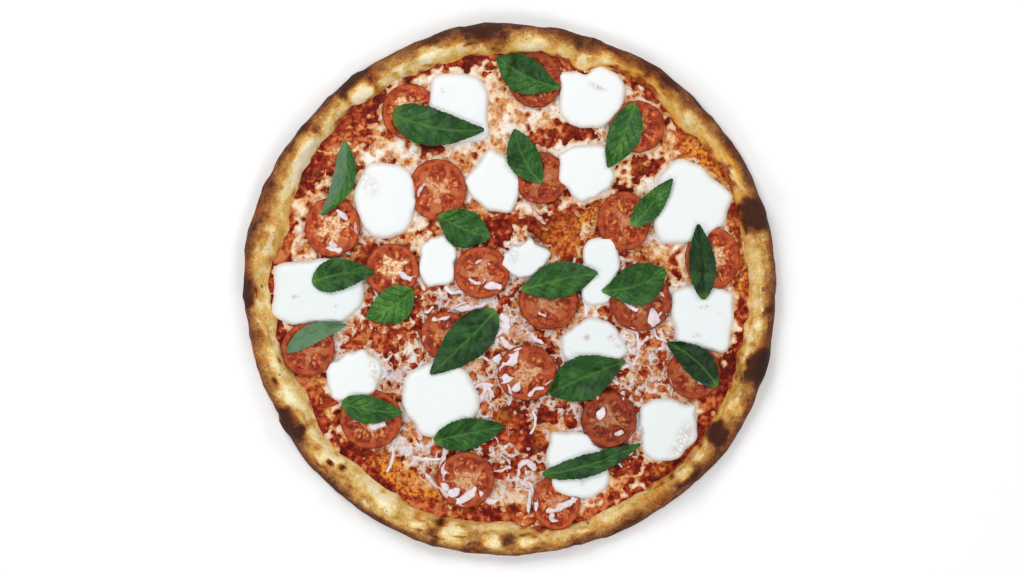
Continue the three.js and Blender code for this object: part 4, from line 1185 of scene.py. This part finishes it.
# Painted shade: how much greyer each slab is painted than pure white, darker towards the lower right
# and where leaves shadow it.
SLAB_PAINTED_SHADES = [0.1, 0, 0, 0, 0, 0.3, 0, 0.6, 0.8, 0.7, 1.0, 0.7, 0.3, 0.1, 0.9, 0.5]
# Where a slab has browned a little: (x, y, width, length, turn, amount).
SLAB_MARKS = [
    (74, 174, 14, 3.4, -25, 1.0), (66, 176, 4, 2.4, 0, 0.8), (65, -40.5, 5, 5, 0, 1.0),
    (86, -41, 6, 5, 0, 0.9), (92, -48, 5, 5, 0, 0.7), (166, -15, 8, 3, 10, 1.0), (158, -39, 9, 3, 0, 1.0),
    (178, -20, 3, 3, 0, 0.6), (149, -126, 13, 22, -20, 0.8), (140, -138, 12, 8, 0, 0.5),
    (-117, -72, 8, 24, 10, 0.6), (-185, -6, 5, 3, 0, 1.0), (-59, 171, 2.4, 4.5, 20, 0.9),
    (-122, 92, 14, 20, 30, 0.45), (2, 30, 8, 14, 0, 0.5), (-38, -110, 8, 8, 0, 0.5),
    (134, 88, 6, 6, 0, 0.4), (60, -166, 6, 4, 0, 0.5), (44, -158, 3, 5, 0, 0.7),
    (-150, -14, 3, 3, 0, 0.7),
]


def mozzarella_slab(name, index, middle_x, middle_y, width, length, square, lobes):
    """One slab, as a dome with a soft edge and a gently uneven top."""
    piece, ring, angle = torus(name, SLAB_SEGMENTS, DOME_RINGS + DOME_UNDER + 1)
    line = through(DOME, DOME_RINGS + 1)
    share = np.append(line[:, 0], np.linspace(1, 0, DOME_UNDER + 1)[1:])[ring]
    rise = np.append(line[:, 1], [DOME[-1][1]] * DOME_UNDER)[ring]
    circle = around(angle, math.sqrt(width * length) / 2)
    edge = slab_radius(angle, width, length, square, lobes)
    edge += clouds(circle, (1.5, 16, 300 + index), (0.3, 4, 330 + index))
    place = around(angle, share * edge) + [middle_x, middle_y, 0]
    place[:, 2] = TOPPING_FLOOR + MOZZARELLA_HEIGHT * math.sqrt(min(width, length) / 50) * rise
    top = (ring < DOME_RINGS - 4) * smooth_step(rise, 0.1, 0.6)
    place[:, 2] += top * (clouds(place, (0.3, 16, 360), (0.08, 6, 361)) - 0.1)
    move_points(piece, place * MM)
    browned = ovals(place[:, 0], place[:, 1], SLAB_MARKS)
    note(piece, share=share, shade=SLAB_PAINTED_SHADES[index - 1], browned=browned)
    close_poles(piece)
    return piece


print("slabs stand", MOZZARELLA_HEIGHT, "mm high when 50 mm across")

# %% The mozzarella's finish, and the slabs
white = Finish("fresh_mozzarella", Roughness=0.4, Specular_IOR_Level=0.3)
outwards = white.roughen(white.attribute("share"), (0.004, 3, 0.16))
white.color = white.ramp(outwards, (0.0, 235, 240, 240), (0.92, 236, 239, 238), (1.0, 238, 233, 224))
milk = white.between(white.noise(0.018, 3), 0.5, 0.72)
white.coat(milk * 0.3, paint(226, 232, 236))
# Painted shade: each slab is greyed by its own amount of painted shade.
white.coat(white.attribute("shade") * 0.4, paint(214, 223, 224))
freckles = white.between(white.grains(0.009), 0.085, 0.04) * white.between(white.noise(0.02, 1), 0.5, 0.62)
white.coat(freckles * 0.5, paint(196, 186, 170))
browned = white.attribute("browned") * white.between(white.noise(0.0026, 3, shift=0.5), 0.38, 0.56)
white.coat(browned * 0.7, paint(186, 150, 132))
white.feed(Base_Color=white.color)
white.bump(white.noise(0.006, 3), 0.0003)

slabs = lay(mozzarella_slab, MOZZARELLA, "mozzarella_slab", white, "fresh_mozzarella", "mozzarella")

# %% [markdown]
# ## Tomato slices
# A slice is a disc with a skin round it, a firm outer wall, a few uneven seed chambers and a pale
# core whose arms part the chambers. In the oven the chambers sink and the wall stays up. Each slice
# is a torus set on that section, so that wall, chambers and seeds are real relief, and the finish
# reads where each of them is. Cutting the chambers out one by one would leave hard edges that the
# oven has long rounded.

# %% The section and the parts of a slice
SLICE_SEGMENTS = 128
TOP_RINGS, EDGE_RINGS, FLAT_RINGS = 34, 7, 4
SEEDS = 16
EDGE_END, SLICE_RINGS = TOP_RINGS + EDGE_RINGS, TOP_RINGS + EDGE_RINGS + FLAT_RINGS
SLICE_DEPTH = TOMATO_THICKNESS + SINK
# From the middle of the top outwards and back below: (ring, share of the radius) and (ring, drop).
SLICE_SHARES = [(0, 0), (TOP_RINGS, 0.955), (TOP_RINGS + 2, 1.0), (EDGE_END, 0.97), (SLICE_RINGS, 0)]
SLICE_DROPS = [
    (0, 0), (TOP_RINGS - 2, 0), (TOP_RINGS, 0.35), (TOP_RINGS + 2, 1.5), (EDGE_END, SLICE_DEPTH),
    (SLICE_RINGS, SLICE_DEPTH),
]


def slice_parts(random, index, place, reach, angle, turn, core_size):
    """How far each point belongs to the seed chambers, to the core and to a seed."""
    count = random.integers(3, 6)
    arms = turn + 360 / count * (np.arange(count) + random.uniform(-0.24, 0.24, count))
    bent = angle + 16 * cloud(place, 11, 200 + index)
    off_arm = np.min([np.abs(turn_between(arm, bent)) for arm in arms], axis=0)
    across_arm = np.radians(off_arm.clip(0, 90)) * reach
    arm = smooth_step(0.13 + 0.07 * cloud(place, 6, 220 + index) - across_arm, -0.04, 0.05)
    inner = smooth_step(reach, core_size - 0.02, core_size + 0.1)
    chamber = (1 - arm) * inner * smooth_step(0.8 - reach, -0.02, 0.05)
    core = smooth_step(core_size + 0.26 * arm + 0.10 * cloud(place, 5, 210 + index) - reach, 0, 0.1)
    seed = np.zeros(len(reach))
    for _ in range(SEEDS):
        at, far = math.radians(random.uniform(0, 360)), random.uniform(core_size + 0.1, 0.66)
        u, v = reach * np.cos(np.radians(angle) - at) - far, reach * np.sin(np.radians(angle) - at)
        seed = np.maximum(seed, np.exp(-((u / 0.07) ** 2 + (v / 0.035) ** 2) ** 2))
    return chamber, core, seed * chamber


def tomato_slice(name, index, middle_x, middle_y, width, length, turn):
    """One slice, with its chambers, core and seeds kept as numbers on its points."""
    random = np.random.default_rng(100 + index)
    core_size, paleness, cooked = CORES[index - 1]
    piece, ring, angle = torus(name, SLICE_SEGMENTS, SLICE_RINGS + 1)
    edge = oval_radius(angle, width, length) + 0.5 * ripple(angle, index)
    share, drop = np.interp(ring, *zip(*SLICE_SHARES)), np.interp(ring, *zip(*SLICE_DROPS))
    top = (ring <= TOP_RINGS + 1).astype(float)
    place = around(angle, share * edge) + [middle_x, middle_y, 0]
    reach = share + 0.04 * cloud(place, 9, 230 + index)
    chamber, core, seed = slice_parts(random, index, place, reach, angle, turn, core_size)
    relief = 0.6 * cloud(place, 8, 290 + index) + (0.25 * cloud(place, 3, 291) - 1.4) * chamber
    relief += 0.35 * seed + 0.2 * core
    place[:, 2] = TOPPING_FLOOR + TOMATO_THICKNESS - drop + relief * top * (ring < TOP_RINGS)
    place[:, 2] -= 3.4 * smooth_step(0.6 - slab_gap(place[:, 0], place[:, 1]), 0, 3) * top
    move_points(piece, place * MM)
    note(piece, share=share, chamber=chamber * top, core=core * top, seed=seed * top)
    note(piece, pale=paleness, cooked=cooked)
    close_poles(piece)
    return piece


print("slices are", TOMATO_THICKNESS, "mm thick, with", SEEDS, "seeds")

# %% [markdown]
# Cooked flesh is brick red and streaked, the jelly in the chambers darker and wet, the core pale,
# and the skin a thin dark line. One picture could be wrapped over all slices, but then they would
# be alike. The numbers on the points say which part is which, so each slice gets its own.

# %% The tomato's finish, and the slices
red_flesh = Finish("tomato", Roughness=0.28, Specular_IOR_Level=0.24)
patch = red_flesh.noise(0.006, 4)
fibre = red_flesh.noise(0.0022, 3, shift=0.4)
from_middle = red_flesh.attribute("share") + (red_flesh.noise(0.006, 2, shift=0.8) - 0.5) * 0.1
flesh_color = red_flesh.mix(red_flesh.between(patch, 0.3, 0.7), paint(146, 48, 16), paint(200, 90, 40))
arm_color = red_flesh.mix(fibre, paint(152, 50, 18), paint(222, 130, 70))
red_flesh.color = red_flesh.mix(red_flesh.between(from_middle, 0.80, 0.70), flesh_color, arm_color)
jelly_color = red_flesh.ramp(
    patch * 0.6 + fibre * 0.4,
    (0.36, 98, 16, 4), (0.46, 144, 38, 12), (0.55, 186, 72, 26), (0.63, 228, 134, 66),
)
red_flesh.coat(red_flesh.attribute("chamber"), jelly_color)
woody = red_flesh.between(fibre * 0.6 + patch * 0.4, 0.38, 0.60)
core_color = red_flesh.mix(woody, paint(196, 104, 52), paint(250, 220, 176))
red_flesh.coat(red_flesh.attribute("core") * red_flesh.attribute("pale") * 0.9, core_color)
red_flesh.coat(red_flesh.attribute("seed") * 0.8, paint(234, 172, 92))
# Each whole slice is made darker by its own amount.
red_flesh.coat(red_flesh.attribute("cooked"), paint(196, 186, 176), "MULTIPLY")
skin = red_flesh.between(red_flesh.attribute("share"), 0.95, 0.985)
red_flesh.coat(skin * 0.5, paint(116, 24, 10))
red_flesh.feed(Base_Color=red_flesh.color, Roughness=0.12 + patch * 0.2)
red_flesh.bump(red_flesh.noise(0.0018, 3) + patch * 0.6, 0.0009)

tomatoes = lay(tomato_slice, TOMATOES, "tomato_slice", red_flesh, "tomato", "tomato")

# %% [markdown]
# ## Basil
# A leaf is a grid drawn out along its midrib, with the side veins pressed in, the fields between
# them raised, and a thickness from a Solidify modifier. It lies on whatever is below it: each point
# looks down for its support, and the leaf is then relaxed so that it bridges what is narrow. A
# Shrinkwrap modifier could lay it down too, but it would draw the leaf into every gap.

# %% Sizes of the leaves, in millimetres
LEAF_THICKNESS = 0.6
LEAF_GAP = 0.45  # between the underside and what it lies on
LEAF_END_WIDTH = 1.4
LEAF_STEPS, LEAF_SIDES = 72, 30
RELAX_ROUNDS, RELAX_SAG = 90, 0.004
PALE_HALF, PALE_WHOLE = 3, 11  # these show their pale underside, on the right half and all over
# The creased leaf's midrib lies in a fold, and the fold's shadow is painted dark along it.
CREASED_LEAF = 7  # its midrib lies deep in a fold
# For each leaf: where it is widest, as a share of its length from the stem, how light it is from 0
# to 1, and how much lighter its left half is than the middle, with the right half as much darker:
# painted light and painted shade on the two halves of the fold.
LEAF_LOOKS = [
    (0.56, 0.5, 0.1), (0.34, 0.45, -0.03), (0.44, 0.7, 0), (0.5, 0.5, -0.02), (0.44, 0.6, 0),
    (0.4, 0.6, 0), (0.44, 0.2, -0.06), (0.5, 0.55, 0.1), (0.36, 0.5, 0.04), (0.44, 0.8, -0.08),
    (0.44, 0.8, 0), (0.38, 0.25, 0), (0.5, 0.55, 0), (0.56, 0.5, 0), (0.56, 0.45, -0.03),
    (0.44, 0.15, -0.03), (0.4, 0.6, 0.06), (0.42, 0.5, -0.03), (0.44, 0.4, 0),
]
# (stem, tip, width, bow, fold, curl)
BASIL = [
    ((42, 173), (-12, 200), 32, 4, 0.12, 2), ((-101, 151), (-23, 137), 33, -5.5, 0.15, 3),
    ((-143, 128), (-162, 64), 19, 9, 0.3, 1), ((26, 91), (3, 138), 28, 4, 0.15, 2),
    ((106, 160), (83, 105), 28, 2, 0.12, 1), ((104, 55), (138, 95), 20, -1, 0.2, 3),
    ((165, -8), (160, 56), 23, -1, 0.3, 2), ((-62, 64), (-18, 45), 33, -2, 0.1, 0),
    ((-170, 7), (-117, 15), 28, 3, 0.15, 2), ((-84, 0), (-124, -24), 31, 3, 0.1, 1),
    ((-192, -53), (-141, -30), 17, 5, 0.25, 3), ((-13, -18), (-69, -72), 36, 1, 0.1, 1),
    ((9, 0), (74, 15), 31, 1, 0.12, 2), ((78, -1), (133, 16), 36, -4, 0.12, 3),
    ((98, -61), (33, -89), 38, -1, 0.12, 1), ((177, -83), (134, -45), 25, -4.5, 0.2, 2),
    ((-145, -97), (-93, -105), 24, -2, 0.15, 1), ((-66, -129), (-5, -117), 27, 0, 0.15, 2),
    ((27, -158), (111, -132), 19, -4, 0.3, 3),
]
DOWN = Vector((0, 0, -1))
print("leaves:", len(BASIL))


# %% How a leaf is shaped and lies
def height_below(supports, x, y):
    """The height of whatever lies highest at a place, in millimetres."""
    hits = [piece.ray_cast(Vector((x * MM, y * MM, 0.1)), DOWN) for piece in supports]
    return max([hit[1].z / MM for hit in hits if hit[0]], default=0)


def near(piece, low, high):
    """Whether a piece's box overlaps a box on the floor, in millimetres."""
    corners = np.array(piece.bound_box)[:, :2] / MM
    return bool(np.all(corners.min(0) < high) and np.all(corners.max(0) > low))


def leaf_outline(stem, tip, width, bow, widest, phase):
    """Where a leaf's points lie, with their share of its length, their side and the half width."""
    ends = np.linspace(0, 1, LEAF_STEPS + 1), np.linspace(-1, 1, LEAF_SIDES + 1)
    share, side = np.meshgrid(*ends, indexing="ij")
    axis = np.array(tip, float) - stem
    left = np.array([-axis[1], axis[0]]) / np.linalg.norm(axis)
    fullness = np.sin(math.pi * share ** (math.log(0.5) / math.log(widest))) ** 0.85
    half = (LEAF_END_WIDTH + (width - LEAF_END_WIDTH) * fullness) / 2
    teeth = 0.9 * ((share * 15 + 0.3 * side) % 1 - 0.5) * np.sqrt(fullness)
    half = half * (1 + 0.02 * np.sin(share * 31 + phase) * np.sign(side)) + teeth
    offset = bow * 4 * share * (1 - share) + side * half
    return stem + share[..., None] * axis + offset[..., None] * left, share, side, half


def leaf_support(place):
    """The height of what lies below a leaf, and that of a leaf which bridges what is narrow."""
    low, high = place.reshape(-1, 2).min(0), place.reshape(-1, 2).max(0)
    supports = [piece for piece in (crust, cheese, strands, *tomatoes, *slabs) if near(piece, low, high)]
    ground = np.array([height_below(supports, *spot) for spot in place.reshape(-1, 2)])
    ground = lifted = ground.reshape(place.shape[:2])
    for _ in range(RELAX_ROUNDS):
        padded = np.pad(lifted, 1, mode="edge")
        mean = (padded[2:, 1:-1] + padded[:-2, 1:-1] + padded[1:-1, 2:] + padded[1:-1, :-2]) / 4
        lifted = np.maximum(mean - RELAX_SAG, ground)
    return ground, lifted


def leaf_veins(index, flat, share, side, half):
    """How far each place lies on a side vein, on the midrib and in a field between veins."""
    out = np.abs(side)
    # Side veins leave the midrib at a slant and bend towards the tip.
    slant = share * 6.5 - 2.2 * out**0.85 * (1 - 0.25 * share)
    slant += 0.45 * (side > 0) + 0.16 * cloud(flat, 12, 500 + index)
    near_vein = np.abs(slant - np.rint(slant))
    near_small_vein = np.abs(2 * slant - np.rint(2 * slant))
    vein = np.exp(-((near_vein / 0.075) ** 2)) * smooth_step(out, 0.02, 0.1)
    small_vein = 0.35 * np.exp(-((near_small_vein / 0.16) ** 2)) * smooth_step(out, 0.2, 0.5)
    vein = np.maximum(vein, small_vein) * (1 - out) ** 0.4
    midrib = np.exp(-((side * half / 0.8) ** 2)) * (1 - 0.5 * share)
    field = smooth_step(near_vein, 0.03, 0.35) * (1 - side**4)
    return vein, midrib, field * (0.6 + 0.5 * cloud(flat, 16, 520 + index)).clip(0, 1)


def basil_leaf(name, index, stem, tip, width, bow, fold, curl):
    """One leaf on its supports, with veins kept as numbers on its points."""
    widest, lightness, painted_light_half = LEAF_LOOKS[index - 1]
    piece, at = grid(name, LEAF_STEPS, LEAF_SIDES)
    place, share, side, half = leaf_outline(stem, tip, width, bow, widest, index)
    ground, lifted = leaf_support(place)
    flat = on_floor(place[..., 0], place[..., 1])
    vein, midrib, field = leaf_veins(index, flat, share, side, half)
    relief = 0.4 * field - 0.3 * vein - 0.9 * midrib + 0.4 * np.sin(share * 19 + index) * side**4
    relief += 0.9 * cloud(flat, 13, 400 + index) + 0.45 * cloud(flat, 5, 430 + index) * (1 - midrib)
    above = LEAF_GAP + LEAF_THICKNESS
    z = lifted + above + fold * np.abs(side) * half + curl * share**4 + relief
    move_points(piece, np.dstack([place, np.maximum(z, ground + above)])[at] * MM)
    # Painted shadow: on the creased leaf the midrib loses its light colour and is painted dark, as the shadow
    # in its fold.
    painted_crease_shadow = midrib * (index == CREASED_LEAF)
    pale = smooth_step(-side, -0.05, 0.05) * (index == PALE_HALF) + (index == PALE_WHOLE)
    note_at(piece, at, vein=vein + 1.6 * painted_crease_shadow, midrib=midrib - painted_crease_shadow, share=share, field=field, pale=pale)
    # Painted light and shade: one half of the folded leaf is painted lighter and the other darker, as the
    # light falls on the fold.
    note_at(piece, at, tone=lightness + painted_light_half * np.tanh(side * 6))
    for finish in (green, pale_green):
        piece.data.materials.append(finish.material)
    thick = piece.modifiers.new("thickness", "SOLIDIFY")
    thick.thickness, thick.offset, thick.material_offset = LEAF_THICKNESS * MM, -1, 1
    bpy.ops.object.modifier_apply(modifier=thick.name)
    return piece


print("a leaf has", LEAF_STEPS * LEAF_SIDES, "faces before it gets its thickness")

# %% [markdown]
# The upper side is a satin mid green with a light midrib, sunken veins painted dark as painted shade
# and raised fields between them painted lighter as painted light. The underside is paler and dull,
# so a leaf has two finishes and Solidify gives its lower skin the second.

# %% The leaves' finish
green = Finish("basil", Roughness=0.42, Specular_IOR_Level=0.25)
leaf_tone = green.noise(0.011, 2) * 0.45 + green.noise(0.0015, 3) * 0.42
# The raised fields between the veins are painted a little lighter, as painted light on the puffs.
leaf_tone = leaf_tone + green.attribute("field") * 0.07 + green.attribute("tone") * 0.44 - 0.015
green.color = green.ramp(
    leaf_tone,
    (0.44, 5, 30, 4), (0.58, 18, 60, 10), (0.74, 42, 94, 24), (0.94, 98, 150, 58),
)
sheen = green.between(green.noise(0.012, 2, shift=0.4), 0.45, 0.65)
green.coat(sheen * 0.2, paint(92, 134, 84))
# Painted shade: the sunken side veins are painted dark, as the shade that falls in them.
green.coat(green.attribute("vein") * 0.75, paint(8, 40, 6))
green.coat(green.attribute("midrib") * 0.42, paint(104, 152, 58))
green.coat(green.between(green.attribute("share"), 0.14, 0.0) * 0.5, paint(96, 144, 54))
green.coat(green.attribute("pale") * 0.85, paint(96, 128, 96))
green.feed(Base_Color=green.color, Roughness=0.34 + green.noise(0.004, 2) * 0.2)
green.bump(green.noise(0.0012, 2), 0.0003)

pale_green = Finish("basil_underside", Roughness=0.6, Specular_IOR_Level=0.3)
pale_green.color = pale_green.mix(pale_green.noise(0.005, 3), paint(84, 124, 80), paint(112, 148, 100))
pale_green.coat(pale_green.attribute("vein") * 0.5, paint(140, 168, 120))
pale_green.feed(Base_Color=pale_green.color)
pale_green.bump(pale_green.noise(0.0012, 2), 0.0003)

lay(basil_leaf, BASIL, "basil_leaf", green, "basil", "basil")
